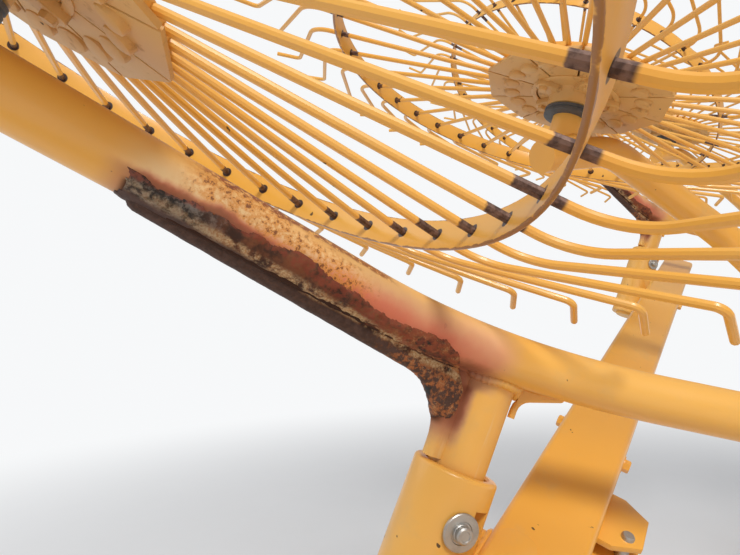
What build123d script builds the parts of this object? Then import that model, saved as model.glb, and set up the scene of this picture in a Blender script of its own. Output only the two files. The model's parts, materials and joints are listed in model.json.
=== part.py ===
from build123d import *
from math import asin, cos, degrees, radians, sin, tan
import os

os.makedirs("parts", exist_ok=True)

# Eight-wheel carted V-rake, folded for transport. Millimetres.
# Frame: origin at the centre of the hitch pin hole, +X forward, +Y left, +Z up.

# Stance
hitch_height = 450
ground = -hitch_height
crossbeam_x = -5527

# Rake wheel, in its own frame: +Z along the spindle, away from the boom
rim_radius = 533
rim_width = 42
rim_thickness = 5
tine_count = 40
tine_wire_radius = 5
tine_start_radius = 120
tine_start_drop = 12
tine_knee = Vector(602, 0, 2)
tine_elbow = Vector(714, -250, 29)
tine_tip = Vector(773, -231, 20)
tine_knee_bend = 70
tine_elbow_bend = 14
clamp_disc_radius = 175
clamp_disc_thickness = 14
plate_count = 10
plate_outer_radius = 182
plate_inner_radius = 78
plate_thickness = 7
plate_gap = 4
bump_radius = 17
bump_height = 9
bump_centre_radius = 132
hub_radius = 50
hub_below = 62
hub_above = 46
hub_flange_radius = 86
hub_flange_thickness = 10
hub_lobe_count = 5
hub_lobe_reach = 78
hub_lobe_radius = 15
hub_lobe_thickness = 10
hub_seal_radius = 54
hub_seal_thickness = 6
running_clearance = 0.05
spindle_radius = 20

# Rocker: one bent tube that carries two rake wheels, and its stub
tube_radius = 34
stub_radius = 41
stub_length = 470
hub_table = (
    # hub centre x, y, z in the rocker frame, spindle's lean towards +X and towards +Y in degrees,
    # height of the hub over the tube, turn of the first tine in degrees
    (-669, 243, 190, 6.3, -4.3, 130, 3.1),
    (253, 162, 632, -6.3, 0.7, 157, 6.3),
)
spindle_boss_radius = 31
spindle_boss_gap = 8
tube_corners = (
    # x, y, z of each corner in the rocker frame, bend radius there
    (0, 0, 0, 740),
    (295, -400, 84, 150),
    (834, -184, 487, 150),
    (413, 117, 568, 110),
)
tube_end_overhang = 48
gusset_thickness = 10
gusset_edge_radius = 9
gusset_stand = 12
gusset_table = (
    # reach along the tube, depth of the round edge at the reach and at the stub, its bend radius,
    # gap between its end and the sleeve's rim
    (510, 32, 77, 60, 5),
    (130, 34, 62, 40, 60),
)
rocker_rest_angle = 14.3
rocker_swing = 28.6

# Boom: a box beam along its own +X, with its two rocker sleeves
boom_rise = 12.5
boom_roll = 23.3
boom_side = 127
boom_corner = 12
boom_rear_reach = 1180
boom_front_reach = 2450
boom_reference = Vector(crossbeam_x + 1500, 797, ground + 1333)
pivot_lean = 27.8
pivot_side_lean = 3.5
sleeve_radius = 60
sleeve_bore_relief = 4
sleeve_relief_depth = 22
sleeve_top = 150
sleeve_length = 310
sleeve_offset = 141
sleeve_station = -29
sleeve_pitch = 2090
joint_height = 208
rockers_per_boom = 2
bolt_depth = 216
bolt_direction = -135.5
bolt_radius = 8
bolt_head_radius = 13
bolt_head_height = 10
washer_radius = 25
washer_thickness = 5
washer_gap = 0.5
slot_height = 20
slot_play = 1.3

# Fold hinge: one inclined shaft at the rear of each boom
fold_azimuth = 26
fold_elevation = 27.9
fold_angle = 77.6
hinge_point = Vector(crossbeam_x + 207, 1455, ground + 907)
hinge_shaft_radius = 40
hinge_sleeve_radius = 65
hinge_sleeve_start = 55
hinge_sleeve_end = 400
hinge_gap = 5
hinge_cap_radius = 60
hinge_cap_thickness = 15
arm_half_width = 55
arm_half_depth = 50
arm_hub_radius = 75

# Fold cylinder, in the plane square to the fold shaft
cylinder_plane_offset = -105
cylinder_anchor_radius = 420
cylinder_anchor_angle = -70
cylinder_lug_radius = 420
cylinder_barrel_radius = 29
cylinder_barrel_length = 330
cylinder_rod_radius = 16
cylinder_eye_radius = 28
cylinder_eye_width = 60
cylinder_pin_radius = 14
cylinder_pin_gap = 0.3
cylinder_pin_cap = 14
mast_plate_gap = 5
mast_plate_thickness = 12
mast_plate_width = 90

# Cart
box_side = 120
box_corner = 10
beam_height = 785
crossbeam_half_length = 1307
spine_front_x = -1350
drawbar_width = 100
drawbar_sill = 150
drawbar_brow = 190
drawbar_nose_low = 150
drawbar_nose_high = 120
tyre_radius = 330
tyre_width = 205
tyre_shoulder = 45
rim_seat_radius = 195
track_half = 720
leg_width = 80
leg_depth = 110
wheel_gap = 14
axle_radius = 22
hitch_pin_radius = 16
hitch_plate_thickness = 20
hitch_jaw = 60
hitch_plate_half_width = 50
jack_x = -1500
jack_tube_radius = 32
jack_leg_radius = 26
jack_tube_top = 1010
jack_tube_bottom = 420
jack_bracket_height = 90
jack_bracket_length = 70
jack_standoff = 20
jack_cap_thickness = 12
jack_foot_side = 180
jack_foot_thickness = 12

boom_base = Plane(
    origin=boom_reference,
    x_dir=(cos(radians(boom_rise)), 0, sin(radians(boom_rise))),
    z_dir=(-sin(radians(boom_rise)), 0, cos(radians(boom_rise))),
)
fold_axis = Vector(
    cos(radians(fold_elevation)) * cos(radians(fold_azimuth)),
    cos(radians(fold_elevation)) * sin(radians(fold_azimuth)),
    sin(radians(fold_elevation)),
)


def turned(plane, direction, angle):
    """The same plane turned about its origin, by the right-hand rule about a direction."""
    spin = Axis((0, 0, 0), direction)
    return Plane(
        origin=plane.origin,
        x_dir=plane.x_dir.rotate(spin, angle),
        z_dir=plane.z_dir.rotate(spin, angle),
    )


def shifted(plane, x, y, z):
    """The same plane with its origin moved to a point of its own frame."""
    return Plane(origin=plane.from_local_coords(Vector(x, y, z)), x_dir=plane.x_dir, z_dir=plane.z_dir)


def pivot_plane(index):
    """Frame of one rocker's pivot: +Z along the stub, origin on the tube's centre line."""
    plane = shifted(boom_plane, sleeve_station + index * sleeve_pitch, sleeve_offset, joint_height)
    plane = turned(plane, plane.y_dir, pivot_lean)
    return turned(plane, plane.x_dir, -pivot_side_lean)


def rocker_plane(index):
    """Frame of one rocker as it rests, turned against its stop."""
    plane = pivot_plane(index)
    return turned(plane, plane.z_dir, -rocker_rest_angle)


def hub_plane(place, row):
    """Frame of one rake wheel on a rocker: +Z along its own spindle, +X along a tine."""
    x, y, z, lean_x, lean_y, height, turn = row
    leaned = turned(turned(place, place.y_dir, lean_x), place.x_dir, -lean_y)
    centre = shifted(place, x, y, z)
    wheel = Plane(origin=centre.origin, x_dir=leaned.x_dir, z_dir=leaned.z_dir)
    return turned(wheel, wheel.z_dir, turn)


boom_plane = turned(boom_base, boom_base.x_dir, boom_roll)


def write_pair(left, name):
    """Write a left piece, and its mirror image for the right side."""
    left.part.label = f"{name}_left"
    export_step(left.part, f"parts/{name}_left.step")
    with BuildPart() as right:
        mirror(left.part, about=Plane.XZ)
    right.part.label = f"{name}_right"
    export_step(right.part, f"parts/{name}_right.step")


# Rake wheel: a flat hoop, the tines through it and the clamp disc that holds them
with BuildPart() as one_tine:
    with BuildLine() as tine_path:
        FilletPolyline(
            (tine_start_radius, 0, -tine_start_drop),
            tine_knee,
            tine_elbow,
            tine_tip,
            radius=[tine_knee_bend, tine_elbow_bend],
        )
    with BuildSketch(Plane(origin=tine_path.line @ 0, z_dir=tine_path.line % 0)):
        Circle(tine_wire_radius)
    sweep(path=tine_path.line)

with BuildPart() as rake_wheel:
    with BuildSketch(Plane.XY.offset(-rim_width / 2)):
        Circle(rim_radius + rim_thickness / 2)
        Circle(rim_radius - rim_thickness / 2, mode=Mode.SUBTRACT)
    extrude(amount=rim_width)
    with BuildSketch(Plane.XY.offset(-tine_start_drop - clamp_disc_thickness / 2)):
        Circle(clamp_disc_radius)
        Circle(hub_radius + running_clearance, mode=Mode.SUBTRACT)
    extrude(amount=clamp_disc_thickness)
    with PolarLocations(0, tine_count):
        add(one_tine.part)

# Hub: bearing housing, flange and the plates with two half-round bumps each
plate_face = -tine_start_drop - clamp_disc_thickness / 2
plate_angle = 360 / plate_count
plate_half = plate_outer_radius * tan(radians(plate_angle / 2)) - plate_gap / 2
plate_half_inner = plate_inner_radius * tan(radians(plate_angle / 2)) - plate_gap / 2
with BuildPart() as rake_hub:
    with BuildSketch(Plane.XY.offset(-hub_below)):
        Circle(hub_radius)
    extrude(amount=hub_below + hub_above)
    with BuildSketch(Plane.XY.offset(plate_face - hub_flange_thickness)):
        Circle(hub_flange_radius)
    extrude(amount=hub_flange_thickness)
    with BuildSketch(Plane.XY.offset(plate_face - hub_flange_thickness - hub_lobe_thickness)):
        with PolarLocations(hub_lobe_reach, hub_lobe_count):
            Circle(hub_lobe_radius)
        with PolarLocations(hub_lobe_reach / 2, hub_lobe_count):
            Rectangle(hub_lobe_reach, 2 * hub_lobe_radius)
    extrude(amount=hub_lobe_thickness)
    with BuildSketch(Plane.XY.offset(-hub_below)):
        Circle(hub_seal_radius)
    extrude(amount=hub_seal_thickness)
    with BuildSketch(Plane.XY.offset(plate_face - plate_thickness)):
        with PolarLocations(0, plate_count):
            Polygon(
                (plate_inner_radius, -plate_half_inner),
                (plate_outer_radius, -plate_half),
                (plate_outer_radius, plate_half),
                (plate_inner_radius, plate_half_inner),
                align=None,
            )
    extrude(amount=plate_thickness)
    with BuildSketch(Plane.XY.offset(plate_face - plate_thickness - bump_height)):
        with PolarLocations(bump_centre_radius, 2 * plate_count, start_angle=plate_angle / 4):
            Circle(bump_radius)
    extrude(amount=bump_height, taper=-20)
    with BuildSketch(Plane.XY.offset(-hub_below)):
        Circle(spindle_radius + running_clearance)
    extrude(amount=hub_below + hub_above, mode=Mode.SUBTRACT)

# Rocker, in its own frame
hub_planes = [hub_plane(Plane.XY, row) for row in hub_table]
hub_heights = [height for x, y, z, lean_x, lean_y, height, turn in hub_table]
rear_foot, front_foot = [plane.origin - plane.z_dir * height for plane, height in zip(hub_planes, hub_heights)]
corner_points = [Vector(x, y, z) for x, y, z, bend in tube_corners]
corner_bends = [bend for x, y, z, bend in tube_corners]
rear_dir = (rear_foot - corner_points[0]).normalized()
front_dir = (corner_points[1] - corner_points[0]).normalized()
last_dir = (front_foot - corner_points[-1]).normalized()
up = Vector(0, 0, 1)

with BuildPart() as rocker:
    with BuildLine() as tube_path:
        FilletPolyline(
            rear_foot + rear_dir * tube_end_overhang,
            *corner_points,
            front_foot + last_dir * tube_end_overhang,
            radius=corner_bends,
        )
    with BuildSketch(Plane(origin=tube_path.line @ 0, z_dir=tube_path.line % 0)):
        Circle(tube_radius)
    sweep(path=tube_path.line)
    with BuildSketch(Plane.XY.offset(-stub_length)):
        Circle(stub_radius)
    extrude(amount=stub_length)
    for plane, height in zip(hub_planes, hub_heights):
        with BuildSketch(plane.offset(-height)):
            Circle(spindle_boss_radius)
        extrude(amount=height - hub_below - spindle_boss_gap)
        with BuildSketch(plane.offset(-height)):
            Circle(spindle_radius)
        extrude(amount=height + hub_above)
    for direction, (reach, depth, stub_depth, bend, rim_gap) in zip((rear_dir, front_dir), gusset_table):
        flat_dir = Vector(direction.X, direction.Y, 0).normalized()
        gusset_plane = Plane(origin=(0, 0, 0), x_dir=flat_dir, z_dir=flat_dir.cross(up))
        rise = direction.Z / direction.dot(flat_dir)
        edge_x = stub_radius + gusset_stand
        lowest = sleeve_top - rim_gap
        edge_points = ((reach, rise * reach - depth), (edge_x, rise * edge_x - stub_depth), (edge_x, -lowest))
        with BuildSketch(gusset_plane):
            with BuildLine():
                edge = FilletPolyline(*edge_points, radius=bend)
                Polyline(edge @ 1, (0, -lowest), (0, 0), (reach, rise * reach), edge @ 0)
            make_face()
        extrude(amount=gusset_thickness / 2, both=True)
        with BuildLine(gusset_plane) as edge_path:
            FilletPolyline(*edge_points, radius=bend)
        with BuildSketch(Plane(origin=edge_path.line @ 0, z_dir=edge_path.line % 0)):
            Circle(gusset_edge_radius)
        sweep(path=edge_path.line)

# Stop bolt in the rocker's stub, in the same frame
bolt_plane = Plane(
    origin=(0, 0, -bolt_depth),
    x_dir=(0, 0, 1),
    z_dir=(
        cos(radians(bolt_direction + rocker_rest_angle)),
        sin(radians(bolt_direction + rocker_rest_angle)),
        0,
    ),
)
with BuildPart() as stop_bolt:
    with BuildSketch(bolt_plane.offset(stub_radius)):
        Circle(bolt_radius)
    extrude(amount=sleeve_radius - stub_radius + washer_gap)
    with BuildSketch(bolt_plane.offset(sleeve_radius + washer_gap)):
        Circle(washer_radius)
    extrude(amount=washer_thickness)
    with BuildSketch(bolt_plane.offset(sleeve_radius + washer_gap + washer_thickness)):
        RegularPolygon(radius=bolt_head_radius, side_count=6)
    extrude(amount=bolt_head_height)

wheel_number = 0
for index in range(rockers_per_boom):
    place = rocker_plane(index)
    with BuildPart() as rocker_placed:
        with Locations(place.location):
            add(rocker.part)
    write_pair(rocker_placed, f"rocker_{index + 1}")
    with BuildPart() as bolt_placed:
        with Locations(place.location):
            add(stop_bolt.part)
    write_pair(bolt_placed, f"stop_bolt_{index + 1}")
    for row in hub_table:
        wheel_number += 1
        wheel_place = hub_plane(place, row)
        with BuildPart() as wheel_placed:
            with Locations(wheel_place.location):
                add(rake_wheel.part)
        write_pair(wheel_placed, f"rake_wheel_{wheel_number}")
        with BuildPart() as hub_placed:
            with Locations(wheel_place.location):
                add(rake_hub.part)
        write_pair(hub_placed, f"rake_hub_{wheel_number}")

# Boom beam
beam_section = Plane(
    origin=boom_plane.from_local_coords(Vector(-boom_rear_reach, 0, -boom_side / 2)),
    x_dir=boom_plane.y_dir,
    z_dir=boom_plane.x_dir,
)
with BuildPart() as boom_beam:
    with BuildSketch(beam_section):
        RectangleRounded(boom_side, boom_side, boom_corner)
    extrude(amount=boom_rear_reach + boom_front_reach)
write_pair(boom_beam, "boom_beam")

# Rocker sleeves, each with a block to the side of the beam and a slot for the stop bolt
slot_half = degrees(asin(bolt_radius / stub_radius)) + slot_play
slot_far = 2 * sleeve_radius
with BuildPart() as boom_sleeves:
    for index in range(rockers_per_boom):
        pivot = pivot_plane(index)
        block = shifted(boom_plane, sleeve_station + index * sleeve_pitch, sleeve_offset, joint_height)
        with BuildSketch(pivot.offset(-sleeve_top - sleeve_length)):
            Circle(sleeve_radius)
        extrude(amount=sleeve_length)
        block_x = -tan(radians(pivot_lean)) * (joint_height + boom_side / 2)
        with BuildSketch(shifted(block, block_x, 0, -joint_height - boom_side)):
            with Locations((0, -sleeve_offset / 2)):
                Rectangle(1.5 * sleeve_radius, sleeve_offset)
        extrude(amount=boom_side - boom_corner)
    with BuildSketch(beam_section):
        RectangleRounded(boom_side, boom_side, boom_corner)
    extrude(amount=boom_rear_reach + boom_front_reach, mode=Mode.SUBTRACT)
    for index in range(rockers_per_boom):
        pivot = pivot_plane(index)
        with BuildSketch(pivot.offset(-sleeve_top - 2 * sleeve_length)):
            Circle(stub_radius + running_clearance)
        extrude(amount=2 * sleeve_length, mode=Mode.SUBTRACT)
        with BuildSketch(pivot.offset(-sleeve_top - sleeve_relief_depth)):
            Circle(stub_radius + sleeve_bore_relief)
        extrude(amount=sleeve_relief_depth, mode=Mode.SUBTRACT)
        slot_start = radians(bolt_direction - slot_half)
        slot_middle = radians(bolt_direction + rocker_swing / 2)
        slot_end = radians(bolt_direction + rocker_swing + slot_half)
        with BuildSketch(pivot.offset(-bolt_depth - slot_height / 2)):
            Polygon(
                (0, 0),
                (slot_far * cos(slot_start), slot_far * sin(slot_start)),
                (slot_far * cos(slot_middle), slot_far * sin(slot_middle)),
                (slot_far * cos(slot_end), slot_far * sin(slot_end)),
                align=None,
            )
        extrude(amount=slot_height, mode=Mode.SUBTRACT)
write_pair(boom_sleeves, "boom_sleeves")

# Boom arm: from the fold shaft to the rear end of the beam
beam_end = boom_plane.from_local_coords(Vector(-boom_rear_reach + boom_side / 2, 0, -boom_side / 2))
hinge_foot = hinge_point + fold_axis * (beam_end - hinge_point).dot(fold_axis)
arm_dir = (beam_end - hinge_foot).normalized()
arm_length = (beam_end - hinge_foot).length
fold_plane = Plane(origin=hinge_foot, x_dir=arm_dir, z_dir=fold_axis)
lug_point = fold_plane.from_local_coords(Vector(cylinder_lug_radius, 0, cylinder_plane_offset))
with BuildPart() as boom_arm:
    with BuildSketch(fold_plane.offset(-arm_half_depth)):
        Circle(arm_hub_radius)
        with Locations((arm_length / 2, 0)):
            Rectangle(arm_length, 2 * arm_half_width)
    extrude(amount=2 * arm_half_depth)
    with BuildSketch(beam_section):
        RectangleRounded(boom_side, boom_side, boom_corner)
    extrude(amount=boom_rear_reach + boom_front_reach, mode=Mode.SUBTRACT)
    with BuildSketch(fold_plane.offset(-hinge_sleeve_end - hinge_gap - hinge_cap_thickness)):
        Circle(hinge_shaft_radius)
    extrude(amount=hinge_sleeve_end + hinge_gap + hinge_cap_thickness)
    with BuildSketch(fold_plane.offset(-hinge_sleeve_end - hinge_gap - hinge_cap_thickness)):
        Circle(hinge_cap_radius)
    extrude(amount=hinge_cap_thickness)
    with BuildSketch(fold_plane.offset(-arm_half_depth)):
        with Locations((cylinder_lug_radius, 0)):
            Circle(cylinder_eye_radius)
    extrude(amount=cylinder_plane_offset + cylinder_eye_width / 2 + cylinder_pin_gap + arm_half_depth)
write_pair(boom_arm, "boom_arm")

# Hinge post: sleeve round the fold shaft, with the cylinder's two mast plates
anchor_local = Vector(
    cylinder_anchor_radius * cos(radians(cylinder_anchor_angle)),
    cylinder_anchor_radius * sin(radians(cylinder_anchor_angle)),
    cylinder_plane_offset,
)
anchor_point = fold_plane.from_local_coords(anchor_local)
plate_shift = cylinder_eye_width / 2 + mast_plate_gap
with BuildPart() as hinge_post:
    with BuildSketch(fold_plane.offset(-hinge_sleeve_end)):
        Circle(hinge_sleeve_radius)
    extrude(amount=hinge_sleeve_end - hinge_sleeve_start)
    for low in (-plate_shift - mast_plate_thickness, plate_shift):
        with BuildSketch(turned(fold_plane.offset(cylinder_plane_offset + low), fold_axis, cylinder_anchor_angle)):
            with Locations((cylinder_anchor_radius / 2, 0)):
                Rectangle(cylinder_anchor_radius, mast_plate_width)
            with Locations((cylinder_anchor_radius, 0)):
                Circle(mast_plate_width / 2)
        extrude(amount=mast_plate_thickness)
    with BuildSketch(fold_plane.offset(-hinge_sleeve_end)):
        Circle(hinge_shaft_radius + running_clearance)
    extrude(amount=hinge_sleeve_end, mode=Mode.SUBTRACT)
    with BuildSketch(Plane(origin=anchor_point, x_dir=fold_plane.x_dir, z_dir=fold_axis).offset(-plate_shift)):
        Circle(cylinder_pin_radius)
    extrude(amount=2 * plate_shift)
write_pair(hinge_post, "hinge_post")

# Fold cylinder, from the mast's pin to the pin on the arm
cylinder_span = (lug_point - anchor_point).length
cylinder_dir = (lug_point - anchor_point).normalized()
cylinder_bed = Plane(origin=anchor_point, x_dir=cylinder_dir, z_dir=fold_axis)
cylinder_line = Plane(origin=anchor_point, x_dir=fold_axis, z_dir=cylinder_dir)
with BuildPart() as cylinder_barrel:
    with BuildSketch(cylinder_line.offset(cylinder_eye_radius - 6)):
        Circle(cylinder_barrel_radius)
    extrude(amount=cylinder_barrel_length)
    with BuildSketch(cylinder_bed.offset(-cylinder_eye_width / 2)):
        Circle(cylinder_eye_radius)
    extrude(amount=cylinder_eye_width)
    with BuildSketch(cylinder_bed.offset(-cylinder_eye_width / 2)):
        Circle(cylinder_pin_radius + running_clearance)
    extrude(amount=cylinder_eye_width, mode=Mode.SUBTRACT)
    with BuildSketch(cylinder_line.offset(cylinder_eye_radius + 20)):
        Circle(cylinder_rod_radius + running_clearance)
    extrude(amount=cylinder_barrel_length, mode=Mode.SUBTRACT)
write_pair(cylinder_barrel, "cylinder_barrel")

with BuildPart() as cylinder_rod:
    with BuildSketch(cylinder_line.offset(cylinder_eye_radius + 30)):
        Circle(cylinder_rod_radius)
    extrude(amount=cylinder_span - 2 * cylinder_eye_radius - 24)
    with BuildSketch(cylinder_bed.offset(-cylinder_eye_width / 2)):
        with Locations((cylinder_span, 0)):
            Circle(cylinder_eye_radius)
    extrude(amount=cylinder_eye_width)
    with BuildSketch(cylinder_bed.offset(-cylinder_eye_width / 2 - cylinder_pin_cap)):
        with Locations((cylinder_span, 0)):
            Circle(cylinder_pin_radius)
    extrude(amount=cylinder_pin_cap)
write_pair(cylinder_rod, "cylinder_rod")

# Crossbeam between the hinge posts, cut to their sleeves
beam_z = ground + beam_height
with BuildPart() as crossbeam:
    with BuildSketch(Plane.XZ.offset(-crossbeam_half_length)):
        with Locations((crossbeam_x, beam_z)):
            RectangleRounded(box_side, box_side, box_corner)
    extrude(amount=2 * crossbeam_half_length)
    with BuildSketch(fold_plane.offset(-hinge_sleeve_end)):
        Circle(hinge_sleeve_radius)
    extrude(amount=hinge_sleeve_end, mode=Mode.SUBTRACT)
    split(bisect_by=Plane.XZ, keep=Keep.BOTTOM)
    mirror(about=Plane.XZ)
crossbeam.part.label = "crossbeam"
export_step(crossbeam.part, "parts/crossbeam.step")

# Spine and drawbar
with BuildPart() as spine:
    with BuildSketch(Plane.YZ.offset(crossbeam_x + box_side / 2)):
        with Locations((0, beam_z)):
            RectangleRounded(box_side, box_side, box_corner)
    extrude(amount=spine_front_x - crossbeam_x - box_side / 2)
spine.part.label = "spine"
export_step(spine.part, "parts/spine.step")

jaw_back = -150
with BuildPart() as drawbar:
    with BuildSketch(Plane.XZ.offset(-drawbar_width / 2)):
        Polygon(
            (spine_front_x, beam_z - box_side / 2),
            (spine_front_x + drawbar_sill, beam_z - box_side / 2),
            (jaw_back - drawbar_nose_low, -hitch_jaw / 2 - hitch_plate_thickness),
            (jaw_back, -hitch_jaw / 2 - hitch_plate_thickness),
            (jaw_back, hitch_jaw / 2 + hitch_plate_thickness),
            (jaw_back - drawbar_nose_high, hitch_jaw / 2 + hitch_plate_thickness),
            (spine_front_x + drawbar_brow, beam_z + box_side / 2),
            (spine_front_x, beam_z + box_side / 2),
            align=None,
        )
    extrude(amount=drawbar_width)
drawbar.part.label = "drawbar"
export_step(drawbar.part, "parts/drawbar.step")

with BuildPart() as hitch_clevis:
    for low in (-hitch_jaw / 2 - hitch_plate_thickness, hitch_jaw / 2):
        with BuildSketch(Plane.XY.offset(low)):
            with Locations((jaw_back / 2, 0)):
                Rectangle(-jaw_back, 2 * hitch_plate_half_width)
            Circle(hitch_plate_half_width)
            Circle(hitch_pin_radius, mode=Mode.SUBTRACT)
        extrude(amount=hitch_plate_thickness)
    with BuildSketch(Plane.XY.offset(-hitch_jaw / 2)):
        with Locations((jaw_back + 15, 0)):
            Rectangle(30, 2 * hitch_plate_half_width)
    extrude(amount=hitch_jaw)
hitch_clevis.part.label = "hitch_clevis"
export_step(hitch_clevis.part, "parts/hitch_clevis.step")

# Parking jack on the left of the spine
jack_y = box_side / 2 + jack_tube_radius + jack_standoff
with BuildPart() as jack_tube:
    with BuildSketch(Plane.XY.offset(beam_z - jack_bracket_height / 2)):
        with Locations((jack_x, (jack_y + box_side / 2) / 2)):
            Rectangle(jack_bracket_length, jack_y - box_side / 2)
    extrude(amount=jack_bracket_height)
    with BuildSketch(Plane.XY.offset(ground + jack_tube_bottom)):
        with Locations((jack_x, jack_y)):
            Circle(jack_tube_radius)
    extrude(amount=jack_tube_top - jack_tube_bottom)
    with BuildSketch(Plane.XY.offset(ground + jack_tube_bottom)):
        with Locations((jack_x, jack_y)):
            Circle(jack_leg_radius + running_clearance)
    extrude(amount=jack_tube_top - jack_tube_bottom, mode=Mode.SUBTRACT)
    with BuildSketch(Plane.XY.offset(ground + jack_tube_top)):
        with Locations((jack_x, jack_y)):
            Circle(jack_tube_radius)
    extrude(amount=jack_cap_thickness)
jack_tube.part.label = "jack_tube"
export_step(jack_tube.part, "parts/jack_tube.step")

with BuildPart() as jack_leg:
    with BuildSketch(Plane.XY.offset(ground)):
        with Locations((jack_x, jack_y)):
            RectangleRounded(jack_foot_side, jack_foot_side, 20)
    extrude(amount=jack_foot_thickness)
    with BuildSketch(Plane.XY.offset(ground)):
        with Locations((jack_x, jack_y)):
            Circle(jack_leg_radius)
    extrude(amount=jack_tube_bottom + 220)
jack_leg.part.label = "jack_leg"
export_step(jack_leg.part, "parts/jack_leg.step")

# Transport wheels under the crossbeam, each on a leg with a stub axle
leg_y = track_half - tyre_width / 2 - wheel_gap - leg_width / 2
axle_z = ground + tyre_radius
with BuildPart() as axle_leg:
    with BuildSketch(Plane.XY.offset(axle_z - 60)):
        with Locations((crossbeam_x, leg_y)):
            Rectangle(leg_depth, leg_width)
    extrude(amount=beam_height - box_side / 2 - tyre_radius + 60)
    with BuildSketch(Plane.XZ.offset(-leg_y)):
        with Locations((crossbeam_x, axle_z)):
            Circle(axle_radius)
    extrude(amount=-(track_half - leg_y + 60))
write_pair(axle_leg, "axle_leg")

with BuildPart() as tyre:
    with BuildSketch(Plane.XY):
        with Locations((0, (tyre_radius + rim_seat_radius) / 2)):
            RectangleRounded(tyre_width, tyre_radius - rim_seat_radius, tyre_shoulder)
    revolve(axis=Axis.X)
with BuildPart() as tyre_placed:
    with Locations(Plane(origin=(crossbeam_x, track_half, axle_z), x_dir=(0, 1, 0), z_dir=(0, 0, 1)).location):
        add(tyre.part)
write_pair(tyre_placed, "tyre")

with BuildPart() as road_rim:
    with BuildSketch(Plane.XZ.offset(-track_half + 0.3 * tyre_width)):
        with Locations((crossbeam_x, axle_z)):
            Circle(rim_seat_radius)
            Circle(rim_seat_radius - 12, mode=Mode.SUBTRACT)
    extrude(amount=-0.6 * tyre_width)
    with BuildSketch(Plane.XZ.offset(-track_half - 0)):
        with Locations((crossbeam_x, axle_z)):
            Circle(rim_seat_radius - 6)
    extrude(amount=-10)
    with BuildSketch(Plane.XZ.offset(-track_half + 50)):
        with Locations((crossbeam_x, axle_z)):
            Circle(48)
    extrude(amount=-130)
    with BuildSketch(Plane.XZ.offset(-track_half + 50)):
        with Locations((crossbeam_x, axle_z)):
            Circle(axle_radius + running_clearance)
    extrude(amount=-112, mode=Mode.SUBTRACT)
write_pair(road_rim, "road_rim")
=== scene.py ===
import bpy
import bmesh
import json
import math
from mathutils import Matrix, Vector, noise
from mathutils.bvhtree import BVHTree


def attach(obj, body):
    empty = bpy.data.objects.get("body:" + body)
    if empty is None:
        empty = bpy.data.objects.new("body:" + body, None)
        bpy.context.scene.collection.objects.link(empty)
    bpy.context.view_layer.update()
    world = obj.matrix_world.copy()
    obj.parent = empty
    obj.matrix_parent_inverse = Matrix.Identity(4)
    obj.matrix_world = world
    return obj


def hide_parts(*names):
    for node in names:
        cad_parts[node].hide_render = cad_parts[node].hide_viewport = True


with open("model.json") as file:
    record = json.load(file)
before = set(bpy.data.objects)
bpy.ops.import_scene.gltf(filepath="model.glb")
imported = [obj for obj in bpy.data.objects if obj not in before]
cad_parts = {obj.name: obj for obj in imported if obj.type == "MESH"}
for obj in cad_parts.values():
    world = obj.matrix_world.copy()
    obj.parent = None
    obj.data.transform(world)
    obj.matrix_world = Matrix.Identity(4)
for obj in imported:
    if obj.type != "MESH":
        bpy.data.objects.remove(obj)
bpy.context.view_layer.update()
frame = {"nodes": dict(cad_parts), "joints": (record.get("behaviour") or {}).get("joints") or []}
nodes = frame["nodes"]
joints = {joint["name"]: joint for joint in frame["joints"]}
sides = ("left", "right")
fullTurn = 2 * math.pi
identity = Matrix.Identity(4)
up = Vector((0, 0, 1))
print("frame loaded:", len(nodes), "nodes")


# Camera, at the height of a hand-held phone between the booms
cameraView = {
    "place": (-4.840, 0.545, 1.200),
    "forward": (0.820, 0.568, 0.0645),
    "down": (0.032, 0.067, -0.997),
    "lens": 25.98,
    "nearest": 0.02,
    "farthest": 200,
}


def linked(thing):
    bpy.context.scene.collection.objects.link(thing)
    return thing


def makeCamera(sizes):
    forward = Vector(sizes["forward"]).normalized()
    right = Vector(sizes["down"]).cross(forward).normalized()
    turn = Matrix((right, right.cross(forward), -forward)).transposed().to_4x4()
    data = bpy.data.cameras.new("camera")
    data.lens = sizes["lens"]
    data.clip_start = sizes["nearest"]
    data.clip_end = sizes["farthest"]
    camera = linked(bpy.data.objects.new("camera", data))
    camera.matrix_world = Matrix.Translation(sizes["place"]) @ turn
    bpy.context.scene.camera = camera


makeCamera(cameraView)


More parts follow.
